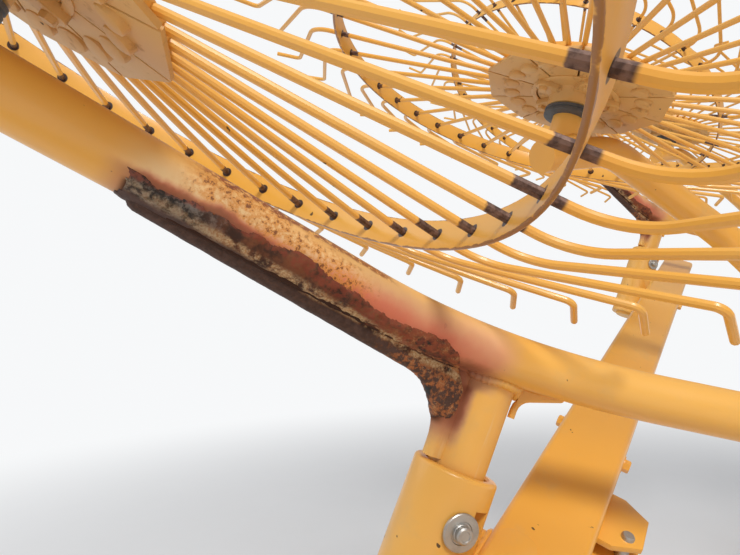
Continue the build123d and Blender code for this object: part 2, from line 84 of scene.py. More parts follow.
# Shader maths: one socket of a tree, with the usual operators
class Shade:
    def __init__(self, tree, socket=None):
        self.tree = tree
        self.socket = socket

    def node(self, kind, settings=None, inputs=None, out=0):
        made = self.tree.nodes.new(kind)
        for key, value in (settings or {}).items():
            setattr(made, key, value)
        for key, value in (inputs or {}).items():
            if isinstance(value, Shade):
                self.tree.links.new(value.socket, made.inputs[key])
            else:
                made.inputs[key].default_value = value
        return Shade(self.tree, made.outputs[out] if made.outputs else None)

    def maths(self, operation, *values):
        return self.node("ShaderNodeMath", {"operation": operation}, dict(enumerate(values)))

    def __add__(self, other):
        return self.maths("ADD", self, other)

    def __radd__(self, other):
        return self.maths("ADD", other, self)

    def __sub__(self, other):
        return self.maths("SUBTRACT", self, other)

    def __rsub__(self, other):
        return self.maths("SUBTRACT", other, self)

    def __mul__(self, other):
        return self.maths("MULTIPLY", self, other)

    def __rmul__(self, other):
        return self.maths("MULTIPLY", other, self)

    def __truediv__(self, other):
        return self.maths("DIVIDE", self, other)

    def __neg__(self):
        return self.maths("MULTIPLY", self, -1)

    def __abs__(self):
        return self.maths("ABSOLUTE", self)

    def root(self):
        return self.maths("SQRT", self)

    def most(self, other):
        return self.maths("MAXIMUM", self, other)

    def least(self, other):
        return self.maths("MINIMUM", self, other)

    def below(self, limit):
        return self.maths("LESS_THAN", self, limit)

    def ramp(self, low, high):
        # smooth rise from 0 at low to 1 at high
        return self.node("ShaderNodeMapRange", {"interpolation_type": "SMOOTHSTEP"},
                         {0: self, 1: low, 2: high})

    def fall(self, low, high):
        return 1 - self.ramp(low, high)

    def between(self, low, high, rise, fall):
        # 1 between low and high, with a soft rise and fall inside them
        return self.ramp(low, low + rise) * self.fall(high - fall, high)

    def mix(self, low, high):
        low, high = (c if isinstance(c, Shade) else (*c, 1) for c in (low, high))
        return self.node("ShaderNodeMix", {"data_type": "RGBA"}, {0: self, 6: low, 7: high}, out=2)

    def part(self, index):
        return self.node("ShaderNodeSeparateXYZ", None, {0: self}, out=index)

    def noise(self, scale, detail=3, rough=0.55):
        inputs = {"Vector": self, "Scale": scale, "Detail": detail, "Roughness": rough}
        return self.node("ShaderNodeTexNoise", None, inputs)

    def wander(self, scale, width):
        # noise about 0, to make a border uneven
        return (self.noise(scale, 4, 0.6) - 0.5) * width

    def stretched(self, sizes):
        return self.node("ShaderNodeVectorMath", {"operation": "MULTIPLY"}, {0: self, 1: sizes})

    def objectPlace(self):
        return self.node("ShaderNodeTexCoord", out=3)

    def stored(self, name, out=2):
        # an attribute of the mesh: output 1 as a vector, 2 as a number
        return self.node("ShaderNodeAttribute", {"attribute_name": name}, out=out)


def newMaterial(name):
    material = bpy.data.materials.new(name)
    material.use_nodes = True
    material.node_tree.nodes.clear()
    return material, Shade(material.node_tree)


def finishMaterial(material, shade, colour, rough, height, strength, depth, metal=0.0, coat=0.0):
    bump = shade.node("ShaderNodeBump", None, {"Strength": strength, "Distance": depth, "Height": height})
    bsdf = shade.node("ShaderNodeBsdfPrincipled", None, {
        "Base Color": colour, "Roughness": rough, "Metallic": metal,
        "Coat Weight": coat, "Coat Roughness": 0.12, "Normal": bump})
    shade.node("ShaderNodeOutputMaterial", None, {0: bsdf})
    return material


# Colours of the paint and of its wear
paintColours = {
    "fresh": (0.83, 0.40, 0.052),
    "faded": (0.86, 0.55, 0.17),
    "dusty": (0.62, 0.41, 0.17),
    "chip": (0.035, 0.018, 0.012),
    "hub": (0.60, 0.33, 0.11),
    "rustDark": (0.045, 0.018, 0.010),
    "rustMid": (0.19, 0.065, 0.025),
    "rustPale": (0.58, 0.45, 0.26),
    "rustTan": (0.42, 0.22, 0.09),
    "rustOrange": (0.40, 0.13, 0.035),
    "rustRed": (0.22, 0.045, 0.020),
    "rustSmooth": (0.085, 0.042, 0.030),
    "rustBlack": (0.022, 0.018, 0.016),
    "rustGrey": (0.17, 0.15, 0.13),
    "freckle": (0.66, 0.27, 0.045),
    "burnt": (0.62, 0.17, 0.09),
    "bleached": (0.80, 0.62, 0.36),
    "wireDark": (0.075, 0.042, 0.032),
    "wirePale": (0.20, 0.12, 0.09),
    "rubber": (0.022, 0.022, 0.023),
    "rubberDust": (0.16, 0.145, 0.125),
}
plainWear = {"base": paintColours["fresh"], "fade": 0.35, "dust": 0.5, "chips": 0.9, "rough": 0.30}
hubWear = {"base": paintColours["hub"], "fade": 0.4, "dust": 1.0, "chips": 0.9, "rough": 0.45}
barrelWear = {"base": (0.03, 0.03, 0.032), "fade": 0.02, "dust": 0.35, "chips": 0.2, "rough": 0.35}
rimWear = {"base": (0.74, 0.73, 0.69), "fade": 0.1, "dust": 0.5, "chips": 0.8, "rough": 0.35}

# Rocker and wheel frames: origin and Z from the joints, X directions as the machine stands
frameFacing = {
    "rocker": (0.9520, -0.0529, -0.3014),
    "wheels": ((0.9246, 0.0376, -0.3791), (0.9852, 0.0221, -0.1697)),
    "rearTube": (-0.9377, 0.3474),
    "restAngle": 14.3,
    "boomOrigin": (-4.027, 0.797, 0.883),
    "boomX": (0.9763, 0, 0.21644),
    "boomZ": (-0.19879, -0.39555, 0.89668),
    "beamEnd": (-1.1165, 0, -0.0635),
}


def framed(origin, xDir, zDir):
    # matrix of a frame with its X and Z directions
    z = Vector(zDir).normalized()
    x = (Vector(xDir) - z * Vector(xDir).dot(z)).normalized()
    turn = Matrix((x, z.cross(x), z)).transposed().to_4x4()
    return Matrix.Translation(origin) @ turn


def rockerFrame(index):
    joint = joints[f"rocker_pivot_{index + 1}_left"]
    return framed(joint["pos_m"], frameFacing["rocker"], joint["axis"])


def wheelFrame(number):
    joint = joints[f"rake_spin_{number}_left"]
    return framed(joint["pos_m"], frameFacing["wheels"][(number - 1) % 2], joint["axis"])


def paintShade(place, wear):
    # paint that fades in broad patches and carries small chips and dust
    broad = place.noise(1.7).ramp(0.35, 0.7)
    grime = place.noise(9, 5, 0.65).ramp(0.52, 0.78) * wear["dust"]
    chips = place.noise(55, 2, 0.5).ramp(0.745, 0.765)
    colour = (broad * wear["fade"]).mix(wear["base"], paintColours["faded"])
    colour = grime.mix(colour, paintColours["dusty"])
    colour = (chips * wear["chips"]).mix(colour, paintColours["chip"])
    rough = broad * 0.12 + grime * 0.25 + chips * 0.3 + wear["rough"]
    height = place.noise(240, 2) * 0.25 + place.noise(14, 2) * 0.4 - chips * 0.6
    return colour, rough, height


def plainPaint(name, wear):
    material, shade = newMaterial(name)
    colour, rough, height = paintShade(shade.objectPlace(), wear)
    return finishMaterial(material, shade, colour, rough, height, 0.18, 0.001, coat=0.25)


# Rust of the rocker, in metres along its rear tube and above it
rustArea = {
    "flatHeight": -0.0175,
    "risesFrom": 0.16,
    "rise": 0.175,
    "topHeight": 0.029,
    "ridgeRise": 0.123,
    "ridgeHeight": -0.0425,
    "webLow": -0.135,
    "stubTop": -0.036,
    "end": 0.56,
    "crestRise": 0.0896,
    "crestHeight": 0.022,
}


def rustZones(local, area):
    # along the rear tube, height over the rust's upper border, height over its torn ridge, toward the rusty flank
    ax, ay = frameFacing["rearTube"]
    x, y, height = (local.part(k) for k in range(3))
    along, aside = x * ax + y * ay, y * ax - x * ay
    wander = local.wander(22, 0.022)
    border = (area["flatHeight"] + (along - area["risesFrom"]).most(0) * area["rise"]).least(area["topHeight"])
    ridge = along * area["ridgeRise"] + area["ridgeHeight"] + local.wander(14, 0.014)
    return along, height - border + wander, height - ridge, along * 0.74 - aside * 0.67 + wander * 0.6


def rockerPaint(name, area):
    # burnt, bleached and freckled paint beside the rust, in the rocker's own coordinates
    material, shade = newMaterial(name)
    local = shade.stored("ownPlace", 1)
    along, over, ridge, flank = rustZones(local, area)
    z = local.part(2)
    colour, rough, height = paintShade(local, plainWear)
    onStub = (-z).ramp(-area["stubTop"], 0.010 - area["stubTop"])
    behind = onStub * flank.ramp(0.004, 0.020) + (1 - onStub) * along.between(0.005, area["end"], 0.06, 0.06)
    web = (z + local.wander(22, 0.022)).ramp(area["webLow"], area["webLow"] + 0.055)
    spread = along.fall(0.09, 0.45) * 0.050 + 0.010
    burnt = (over / spread).fall(0.35, 1.25) * behind * web
    bleach = (over / (spread + 0.03)).fall(0.3, 1.1) * behind * web
    colour = (bleach * 0.75).mix(colour, paintColours["bleached"])
    colour = (burnt * (local.noise(9).ramp(0.25, 0.55) * 0.4 + 0.6)).mix(colour, paintColours["burnt"])
    colour = (over.fall(0.0, 0.012) * burnt * 0.8).mix(colour, paintColours["rustMid"])
    # bare rust under the flaking layer
    under = (-over).ramp(0.002, 0.006) * along.between(0.055, 0.535, 0.02, 0.01) * z.ramp(-0.105, -0.095)
    colour = under.mix(colour, paintColours["rustDark"])
    # freckles on the sunny flank, and a rusty line along the tube's crest
    fine = local.noise(150, 4, 0.7)
    sunny = over.between(0.004, 0.046, 0.008, 0.014) * along.between(0.22, 0.50, 0.06, 0.05)
    sunny = local.noise(24, 4, 0.6).ramp(0.25, 0.46) * sunny
    freckles = fine.ramp(0.36, 0.54) * sunny
    colour = (freckles * 0.8).mix(colour, paintColours["freckle"])
    colour = (fine.ramp(0.55, 0.62) * sunny * 0.9).mix(colour, paintColours["rustMid"])
    crest = z - along * area["crestRise"] - area["crestHeight"] + local.wander(30, 0.010)
    crest = crest.ramp(0.0, 0.004) * along.between(0.20, 0.49, 0.03, 0.05) * fine.ramp(0.38, 0.50)
    colour = (crest * 0.85).mix(colour, paintColours["rustRed"])
    # pale streaks down the stub
    drips = local.stretched((60, 60, 7)).noise(1.0, 3, 0.6).ramp(0.60, 0.70) * (-z).ramp(0.02, 0.07)
    colour = (drips * 0.22).mix(colour, paintColours["bleached"])
    worn = (burnt * 0.35 + freckles * 0.3 + under * 0.5).least(0.6)
    height = height + freckles * 0.8
    return finishMaterial(material, shade, colour, rough + worn, height, 0.35, 0.0012,
                          coat=(0.6 - worn) * 0.35)


def rustScale(name, area):
    # grey-black scale at the far end, a pale torn ridge, a smooth brown lower edge, orange near the stub
    material, shade = newMaterial(name)
    local = shade.stored("ownPlace", 1)
    along, over, ridge, flank = rustZones(local, area)
    rough, fine, grain = local.noise(38, 6, 0.65), local.noise(140, 5, 0.65), local.noise(420, 3, 0.6)
    low = (-ridge).ramp(0.003, 0.008)
    far = along.ramp(0.40, 0.47)
    close = along.fall(0.13, 0.23)
    torn = (abs(ridge) / 0.0075).fall(0.2, 1.0) * (rough * 0.6 + fine * 0.4).ramp(0.42,
                                                                                  0.56) * (1 - far * 0.6)
    colour = rough.ramp(0.35, 0.6).mix(paintColours["rustDark"], paintColours["rustMid"])
    layers = (
        (low, fine.ramp(0.3, 0.7).mix(paintColours["rustSmooth"], paintColours["rustDark"])),
        (far * (1 - low) * rough.ramp(0.30, 0.50),
         fine.ramp(0.40, 0.62).mix(paintColours["rustBlack"], paintColours["rustGrey"])),
        (close * (rough * 0.5 + fine * 0.5).ramp(0.47, 0.56) * 0.9, paintColours["rustOrange"]),
        (close * (rough * 0.6 + grain * 0.4).ramp(0.53, 0.60) * 0.85, paintColours["rustTan"]),
        (close * local.noise(55, 2, 0.5).ramp(0.60, 0.66), paintColours["rustBlack"]),
        (torn, grain.ramp(0.35, 0.65).mix(paintColours["rustTan"], paintColours["rustPale"])),
        (over.ramp(-0.005, -0.001) * fine.ramp(0.40, 0.56) * 0.75, paintColours["rustRed"]),
    )
    for mask, layer in layers:
        colour = mask.mix(colour, layer)
    height = rough * 0.5 + fine * 0.35 + grain * 0.15
    return finishMaterial(material, shade, colour, 0.85 - low * 0.2, height, 0.8, 0.0022)


def metal(name, colour, rough, wear=0.4, metallic=1.0):
    material, shade = newMaterial(name)
    place = shade.objectPlace()
    blotch = place.noise(60, 4, 0.6)
    stained = (blotch.ramp(0.45, 0.75) * wear).mix(colour, tuple(c * 0.55 for c in colour))
    return finishMaterial(material, shade, stained, blotch * 0.25 + rough, place.noise(300, 2), 0.15, 0.0005,
                          metallic)


def rubber(name):
    material, shade = newMaterial(name)
    place = shade.objectPlace()
    dust = place.noise(6, 5, 0.6).ramp(0.4, 0.75) * 0.6
    colour = dust.mix(paintColours["rubber"], paintColours["rubberDust"])
    return finishMaterial(material, shade, colour, dust * 0.15 + 0.72, place.noise(180), 0.3, 0.0008)


# A wheel's own coordinates and the length along each wire are stored on its mesh
wirePaint = {"count": 40, "hoopRadius": 0.533, "clipFrom": 0.519, "clipTo": 0.547, "tipFrom": 0.898}


def wheelPaint(name, sizes):
    material, shade = newMaterial(name)
    place, along = shade.stored("ownPlace", 1), shade.stored("along")
    x, y, z = (place.part(k) for k in range(3))
    radius = (x * x + y * y).root()
    colour, rough, height = paintShade(place, {**plainWear, "dust": 0.35})
    # bare steel where each wire is clipped to the hoop and at its tip
    wire = along.ramp(0.0005, 0.001)
    jitter = shade.stored("tone") * 0.020 + place.noise(120, 2) * 0.008
    inner = (radius + jitter).ramp(sizes["clipFrom"], sizes["clipFrom"] + 0.003)
    inner = inner * (sizes["clipTo"] - radius + jitter * 0.3).ramp(0.0, 0.004)
    tip = (along + place.noise(90, 2) * 0.01).ramp(sizes["tipFrom"], sizes["tipFrom"] + 0.008)
    steel = inner.most(tip) * wire
    brown = place.noise(160, 4).ramp(0.35, 0.65).mix(paintColours["wireDark"], paintColours["wirePale"])
    # rust on the hoop's edges and on the disc behind the hub's plates; round each tine's hole in the hoop, rust
    # together with painted shade standing in for the hole
    step = fullTurn / sizes["count"]
    cell = y.maths("ARCTAN2", y, x) / step + 0.5
    reach = (cell.maths("FRACT", cell) - 0.5) * (step * sizes["hoopRadius"])
    hole = (reach * reach + z * z).root()
    hoop = (0.006 - abs(radius - sizes["hoopRadius"])).ramp(0.0, 0.0005) * (1 - wire)
    edge = (abs(z) + place.noise(70) * 0.006).ramp(0.0225, 0.0235) * hoop
    # painted shade with rust: a dark ring round each tine where it passes the hoop stands in for the hole, which
    # is not modelled
    holeShadeAndRust = (0.0075 + place.noise(80, 2) * 0.003 - hole).ramp(0.0, 0.0012) * hoop
    behind = radius.fall(0.177, 0.178) * (-z).ramp(0.0185, 0.019) * (1 - wire)
    colour = (behind * 0.9).mix(colour, paintColours["rustDark"])
    colour = (edge * 0.8).mix(colour, paintColours["rustMid"])
    colour = holeShadeAndRust.mix(colour, paintColours["rustDark"])
    colour = steel.mix(colour, brown)
    rough = rough * (1 - steel) + steel * 0.5
    height = height - edge * 0.5
    return finishMaterial(material, shade, colour, rough, height, 0.2, 0.001, steel * 0.5, (1 - steel) * 0.2)


def hubPaint(name):
    material, shade = newMaterial(name)
    place = shade.stored("ownPlace", 1)
    colour, rough, height = paintShade(place, hubWear)
    pit = place.noise(45, 5, 0.65).ramp(0.56, 0.72)
    colour = (pit * 0.45).mix(colour, paintColours["rustMid"])
    return finishMaterial(material, shade, colour, rough + pit * 0.2, height + pit * 0.5, 0.3, 0.001)


sceneFinish = {
    "paint": plainPaint("boomPaint", plainWear),
    "wheel": wheelPaint("tinePaint", wirePaint),
    "hub": hubPaint("hubDust"),
    "zinc": metal("zincPlate", (0.52, 0.51, 0.48), 0.34),
    "chrome": metal("hardChrome", (0.70, 0.71, 0.73), 0.08, 0.1),
    "seal": metal("sealPlate", (0.10, 0.105, 0.11), 0.5, 0.6, 0.3),
    "black": plainPaint("barrelPaint", barrelWear),
    "rim": plainPaint("rimPaint", rimWear),
    "rubber": rubber("tyreRubber"),
    "scale": rustScale("rustScale", rustArea),
    "rocker": rockerPaint("rockerPaint", rustArea),
}
print("materials made:", len(bpy.data.materials))

# Finishes of the nodes by the start of their names, the others painted
nodeFinish = {"tyre": "rubber", "road_rim": "rim", "cylinder_rod": "chrome", "cylinder_barrel": "black",
              "stop_bolt": "zinc", "jack_leg": "zinc"}
for name, node in nodes.items():
    finish = next((nodeFinish[start] for start in nodeFinish if name.startswith(start)), "paint")
    node.data.materials.clear()
    node.data.materials.append(sceneFinish[finish])


# Mesh helpers
def meshObject(name, mesh):
    return linked(bpy.data.objects.new(name, mesh))


def fromBmesh(name, build, finish=None, outwards=True):
    # the drawn part as a mesh, its faces outwards
    if outwards:
        bmesh.ops.recalc_face_normals(build, faces=build.faces)
    mesh = bpy.data.meshes.new(name)
    build.to_mesh(mesh)
    build.free()
    if finish:
        mesh.materials.append(sceneFinish[finish])
    return mesh


def turns(steps, used=None):
    return [fullTurn * k / steps for k in range(used or steps)]


def around(radius, angle, height=0.0):
    return Vector((radius * math.cos(angle), radius * math.sin(angle), height))


def ringPoints(radius, height=0.0, steps=72):
    return [around(radius, angle, height) for angle in turns(steps)]


def bridge(build, rings):
    # faces between neighbouring rings, which may close to a point
    for low, high in zip(rings, rings[1:]):
        for k in range(max(len(low), len(high))):
            corners = [low[k % len(low)], low[(k + 1) % len(low)], high[(k + 1) % len(high)],
                       high[k % len(high)]]
            corners = list(dict.fromkeys(corners))
            if len(corners) > 2:
                build.faces.new(corners)


def lathe(build, rows, steps, place=identity):
    # rows of (radius, height) turned about Z
    rings = [ringPoints(radius, height, steps) if radius else [Vector((0, 0, height))] for radius,
             height in rows]
    bridge(build, [[build.verts.new(place @ point) for point in ring] for ring in rings])


def tube(build, points, radius, steps=12, closed=False):
    # round bar along points, with flat ends
    points = [Vector(p) for p in points]
    last = len(points) - 1
    rings = []
    normal = None
    for k, point in enumerate(points):
        ahead = points[(k + 1) % (last + 1)] if closed or k < last else point
        behind = points[k - 1] if closed or k > 0 else point
        run = (ahead - behind).normalized()
        if normal is None:
            normal = run.orthogonal().normalized()
        normal = (normal - run * normal.dot(run)).normalized()
        other = run.cross(normal)
        size = radius[k] if isinstance(radius, list) else radius
        rings.append([build.verts.new(point + (normal * math.cos(a) + other * math.sin(a)) * size)
                      for a in turns(steps)])
    bridge(build, rings + rings[:1] if closed else rings)
    if not closed:
        build.faces.new(list(reversed(rings[0])))
        build.faces.new(rings[-1])


def merge(build, mesh):
    build.from_mesh(mesh)
    bpy.data.meshes.remove(mesh)


def prism(build, outline, low, high, place=identity, bevel=0.0):
    # flat outline given thickness, its edges rounded a little
    part = bmesh.new()
    bottom, top = ([part.verts.new((x, y, z)) for x, y in outline] for z in (low, high))
    part.faces.new(list(reversed(bottom)))
    part.faces.new(top)
    bridge(part, [bottom, top])
    if bevel:
        bmesh.ops.bevel(part, geom=list(part.edges), offset=bevel, segments=2, affect="EDGES", profile=0.6)
    bmesh.ops.recalc_face_normals(part, faces=part.faces)
    bmesh.ops.transform(part, matrix=place, verts=part.verts)
    merge(build, fromBmesh("part", part, outwards=False))


def autoSmooth(mesh, degrees=35):
    # smooth shading, kept sharp over hard edges
    build = bmesh.new()
    build.from_mesh(mesh)
    for edge in build.edges:
        if len(edge.link_faces) == 2 and edge.calc_face_angle(0) > math.radians(degrees):
            edge.smooth = False
    for face in build.faces:
        face.smooth = True
    build.to_mesh(mesh)
    build.free()
    return mesh


def storePlace(mesh):
    data = mesh.attributes.new("ownPlace", "FLOAT_VECTOR", "POINT")
    data.data.foreach_set("vector", [c for vertex in mesh.vertices for c in vertex.co])
    return mesh


def joinMeshes(name, meshes):
    build = bmesh.new()
    materials = []
    for mesh in meshes:
        start = len(build.faces)
        build.from_mesh(mesh)
        build.faces.ensure_lookup_table()
        materials += [material for material in mesh.materials if material not in materials]
        for face in build.faces[start:]:
            face.material_index = materials.index(mesh.materials[face.material_index])
    made = fromBmesh(name, build, outwards=False)
    for material in materials:
        made.materials.append(material)
    return made


def putPiece(name, side, mesh, place, body, replaced=None):
    # in its place on the left, or mirrored to the right with its faces outwards, and on its body
    mesh.transform(place)
    if side == "right":
        mesh.transform(Matrix.Diagonal((1, -1, 1, 1)))
        mesh.flip_normals()
    mesh.update()
    piece = meshObject(name, mesh)
    if replaced:
        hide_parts(replaced)
    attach(piece, body)


def addPiece(name, side, build, finish, body, replaced=None):
    # a part drawn in the left side's world coordinates
    putPiece(name, side, autoSmooth(fromBmesh(name, build, finish)), identity, body, replaced)


# Geometry Nodes: a tree with named inputs, each of a kind such as Float
def newTree(name, kinds):
    tree = bpy.data.node_groups.new(name, "GeometryNodeTree")
    for label, kind in kinds.items():
        tree.interface.new_socket(label, in_out="INPUT", socket_type="NodeSocket" + kind)
    tree.interface.new_socket("geometry", in_out="OUTPUT", socket_type="NodeSocketGeometry")
    start = tree.nodes.new("NodeGroupInput")
    return Shade(tree), {label: Shade(tree, start.outputs[label]) for label in kinds}


def closeTree(shade, result, material):
    real = shade.node("GeometryNodeRealizeInstances", None, {0: result})
    painted = shade.node("GeometryNodeSetMaterial", None, {"Geometry": real, "Material": material})
    shade.node("NodeGroupOutput", None, {0: painted})
    return shade.tree


def randomValue(shade, low, seed):
    settings, inputs = {"data_type": "FLOAT"}, {2: low, 3: 1, "Seed": seed}
    return shade.node("FunctionNodeRandomValue", settings, inputs, out=1)


def copiesRound(shade, part, count, turn):
    # instances at the origin, each turned by its own angles
    points = shade.node("GeometryNodeMeshLine", None, {"Count": count, "Offset": (0, 0, 0)})
    turn = shade.node("ShaderNodeCombineXYZ", None, turn)
    return shade.node("GeometryNodeInstanceOnPoints", None,
                      {"Points": points, "Instance": part, "Rotation": turn})


def ringTree():
    shade, given = newTree("ringOfParts", {
        "part": "Object", "count": "Int", "startAngle": "Float", "jitter": "Float", "seed": "Int",
        "finish": "Material"})
    step = shade.node("GeometryNodeInputIndex") / given["count"] * fullTurn
    loose = randomValue(shade, -1, given["seed"]) * given["jitter"]
    part = shade.node("GeometryNodeObjectInfo", None, {"Object": given["part"]}, out=4)
    ring = copiesRound(shade, part, given["count"], {2: step + given["startAngle"] + loose})
    return closeTree(shade, ring, given["finish"])


def runTree(name, tree, values):
    # the tree's result as a plain mesh
    holder = meshObject(name + "Holder", bpy.data.meshes.new(name))
    modifier = holder.modifiers.new("tree", "NODES")
    modifier.node_group = tree
    for item in tree.interface.items_tree:
        if item.in_out == "INPUT":
            modifier[item.identifier] = values[item.name]
    view = bpy.context.evaluated_depsgraph_get()
    mesh = bpy.data.meshes.new_from_object(holder.evaluated_get(view))
    holder.modifiers.remove(modifier)
    bpy.data.objects.remove(holder)
    return mesh


ringOfParts = ringTree()


def ringMesh(name, part, count, finish, startAngle=0.0, jitter=0.0, seed=1):
    helper = meshObject(name + "Part", part)
    mesh = runTree(name, ringOfParts, {"part": helper, "count": count, "startAngle": startAngle,
                                       "jitter": jitter, "seed": seed, "finish": sceneFinish[finish]})
    bpy.data.objects.remove(helper)
    return mesh


# Rake wheel: tines with two bends, a flat hoop and the disc that clamps them
wheelSizes = {
    "tineCount": 40,
    "wireRadius": 0.005,
    "start": (0.120, 0, -0.012),
    "knee": (0.602, 0, 0.002),
    "elbow": (0.714, -0.250, 0.029),
    "tip": (0.773, -0.231, 0.020),
    "kneeBend": 0.070,
    "elbowBend": 0.014,
    "hoopRadius": 0.533,
    "hoopWidth": 0.042,
    "hoopThickness": 0.005,
    "hoopRound": 0.0012,
    "discRadius": 0.175,
    "discThickness": 0.014,
    "discDrop": 0.012,
    "looseness": 0.0018,
}


def wheelTree(sizes):
    kinds = {int: "Int", float: "Float", tuple: "Vector"}
    kinds = {key: kinds[type(value)] for key, value in sizes.items()}
    shade, given = newTree("rakeWheelTree", {**kinds, "seed": "Int", "finish": "Material"})
    index = shade.node("GeometryNodeInputIndex")

    def store(geometry, name, value, kind="FLOAT", domain="POINT"):
        settings = {"data_type": kind, "domain": domain}
        return shade.node("GeometryNodeStoreNamedAttribute", settings,
                          {"Geometry": geometry, "Name": name, "Value": value})

    def fillet(curve, count, radius):
        inputs = {"Curve": curve, "Count": count, "Radius": radius}
        return shade.node("GeometryNodeFilletCurve", {"mode": "POLY"}, inputs)

    # one tine: four points put at its corners, its bends rounded
    corner = given["tip"]
    for limit, point in ((2.5, "elbow"), (1.5, "knee"), (0.5, "start")):
        inputs = {0: index.below(limit), 4: corner, 5: given[point]}
        corner = shade.node("ShaderNodeMix", {"data_type": "VECTOR"}, inputs, out=1)
    line = shade.node("GeometryNodeMeshLine", None, {"Count": 4, "Offset": (0, 0, 0.1)})
    bent = shade.node("GeometryNodeSetPosition", None, {"Geometry": line, "Position": corner})
    wire = shade.node("GeometryNodeMeshToCurve", None, {0: bent})
    atKnee = index.below(1.5)
    rounded = fillet(wire, 9, atKnee * given["kneeBend"] + (1 - atKnee) * given["elbowBend"])
    marked = store(rounded, "along", shade.node("GeometryNodeSplineParameter", out=1) + 0.002)
    dense = shade.node("GeometryNodeSubdivideCurve", None, {"Curve": marked, "Cuts": 1})
    outline = shade.node("GeometryNodeCurvePrimitiveCircle", None,
                         {"Resolution": 10, "Radius": given["wireRadius"]})
    tine = shade.node("GeometryNodeCurveToMesh", None,
                      {"Curve": dense, "Profile Curve": outline, "Fill Caps": True})
    # the ring of tines, each a little out of place and with its own tone
    loose = [randomValue(shade, -1, given["seed"] + seed) * given["looseness"] for seed in (3, 5, 7)]
    step = index / given["tineCount"] * fullTurn
    ring = copiesRound(shade, tine, given["tineCount"], {0: loose[0], 1: loose[1], 2: step + loose[2]})
    toned = store(ring, "tone", randomValue(shade, 0, given["seed"] + 11), domain="INSTANCE")
    tines = shade.node("GeometryNodeRealizeInstances", None, {0: toned})
    circle = shade.node("GeometryNodeCurvePrimitiveCircle", None,
                        {"Resolution": 160, "Radius": given["hoopRadius"]})
    strip = shade.node("GeometryNodeCurvePrimitiveQuadrilateral", None, {
        "Width": given["hoopThickness"], "Height": given["hoopWidth"]})
    soft = fillet(strip, 2, given["hoopRound"])
    hoop = shade.node("GeometryNodeCurveToMesh", None, {"Curve": circle, "Profile Curve": soft})
    disc = shade.node("GeometryNodeMeshCylinder", None, {
        "Vertices": 96, "Radius": given["discRadius"], "Depth": given["discThickness"]})
    down = shade.node("ShaderNodeCombineXYZ", None, {2: -given["discDrop"]})
    lowered = shade.node("GeometryNodeTransform", None, {"Geometry": disc, "Translation": down})
    together = shade.node("GeometryNodeJoinGeometry")
    for piece in (tines, hoop, lowered):
        shade.tree.links.new(piece.socket, together.socket.node.inputs[0])
    placed = store(together, "ownPlace", shade.node("GeometryNodeInputPosition"), "FLOAT_VECTOR")
    return closeTree(shade, placed, given["finish"])


rakeWheelTree = wheelTree(wheelSizes)


def makeWheel(number, side, sizes):
    values = {**sizes, "seed": number * 17, "finish": sceneFinish["wheel"]}
    mesh = autoSmooth(runTree("rakeWheel", rakeWheelTree, values))
    body = f"rake_wheel_{number}_{side}"
    putPiece(f"rakeWheel_{number}_{side}", side, mesh, wheelFrame(number), body, body)


for side in sides:
    for number in range(1, 5):
        makeWheel(number, side, wheelSizes)
print("rake wheels made")


# Hub: ten plates with two half-round dents each, a lobed casting and its bolts, a seal and a cap
hubSizes = {
    "plateCount": 10,
    "plateOuter": 0.182,
    "plateInner": 0.080,
    "plateThickness": 0.007,
    "plateGap": 0.004,
    "plateLoose": 0.004,
    "face": -0.019,
    "dentRadius": 0.017,
    "dentHeight": 0.008,
    "dentCircle": 0.134,
    "dentLean": 12,
    "housingRadius": 0.050,
    "below": -0.062,
    "above": 0.046,
    "flangeRadius": 0.084,
    "lobes": 5,
    "lobeReach": 0.078,
    "lobeRadius": 0.015,
    "lobeHalf": 0.020,
    "lobeLow": -0.038,
    "lobeHigh": -0.024,
    "boltRadius": 0.009,
    "boltHeight": 0.008,
    "sealRadius": 0.051,
    "capRadius": 0.040,
    "spindleRadius": 0.0205,
}


def plateMesh(sizes):
    build = bmesh.new()
    half = math.tan(math.pi / sizes["plateCount"])
    outer, inner, gap = sizes["plateOuter"], sizes["plateInner"], sizes["plateGap"] / 2
    wide, narrow = outer * half - gap, inner * half - gap
    low = sizes["face"] - sizes["plateThickness"]
    prism(build, [(inner, -narrow), (outer, -wide), (outer, wide), (inner, narrow)], low, sizes["face"],
          bevel=0.0012)
    turn = math.pi / sizes["plateCount"] / 2
    radius, height = sizes["dentRadius"], -sizes["dentHeight"]
    rows = [(radius, 0.004), (radius, height * 0.25), (radius * 0.93, height * 0.6),
            (radius * 0.72, height * 0.8),
            (0, height * 0.85)]
    for sign in (-1, 1):
        place = Matrix.Translation(around(sizes["dentCircle"], sign * turn, low))
        lathe(build, rows, 24, place @ Matrix.Rotation(math.radians(sizes["dentLean"]), 4, "Y"))
    return fromBmesh("hubPlate", build, "hub")


def boltMesh(radius, height, washer=0.0, finish=None):
    # six-sided head with a turned end, on a washer if it has one
    build = bmesh.new()
    base = 0.002 if washer else 0.0
    if washer:
        lathe(build, [(0, 0), (washer, 0), (washer, 0.0016), (washer * 0.94, base), (0, base)], 24)
    rows = [(0, base), (radius, base), (radius, base + height * 0.8), (radius * 0.86, base + height),
            (0, base + height)]
    lathe(build, rows, 6)
    end = base + height * 1.02
    lathe(build, [(radius * 0.8, base + height * 0.9), (radius * 0.8, base + height), (radius * 0.7, end),
                  (0, end)], 18)
    return fromBmesh("bolt", build, finish)


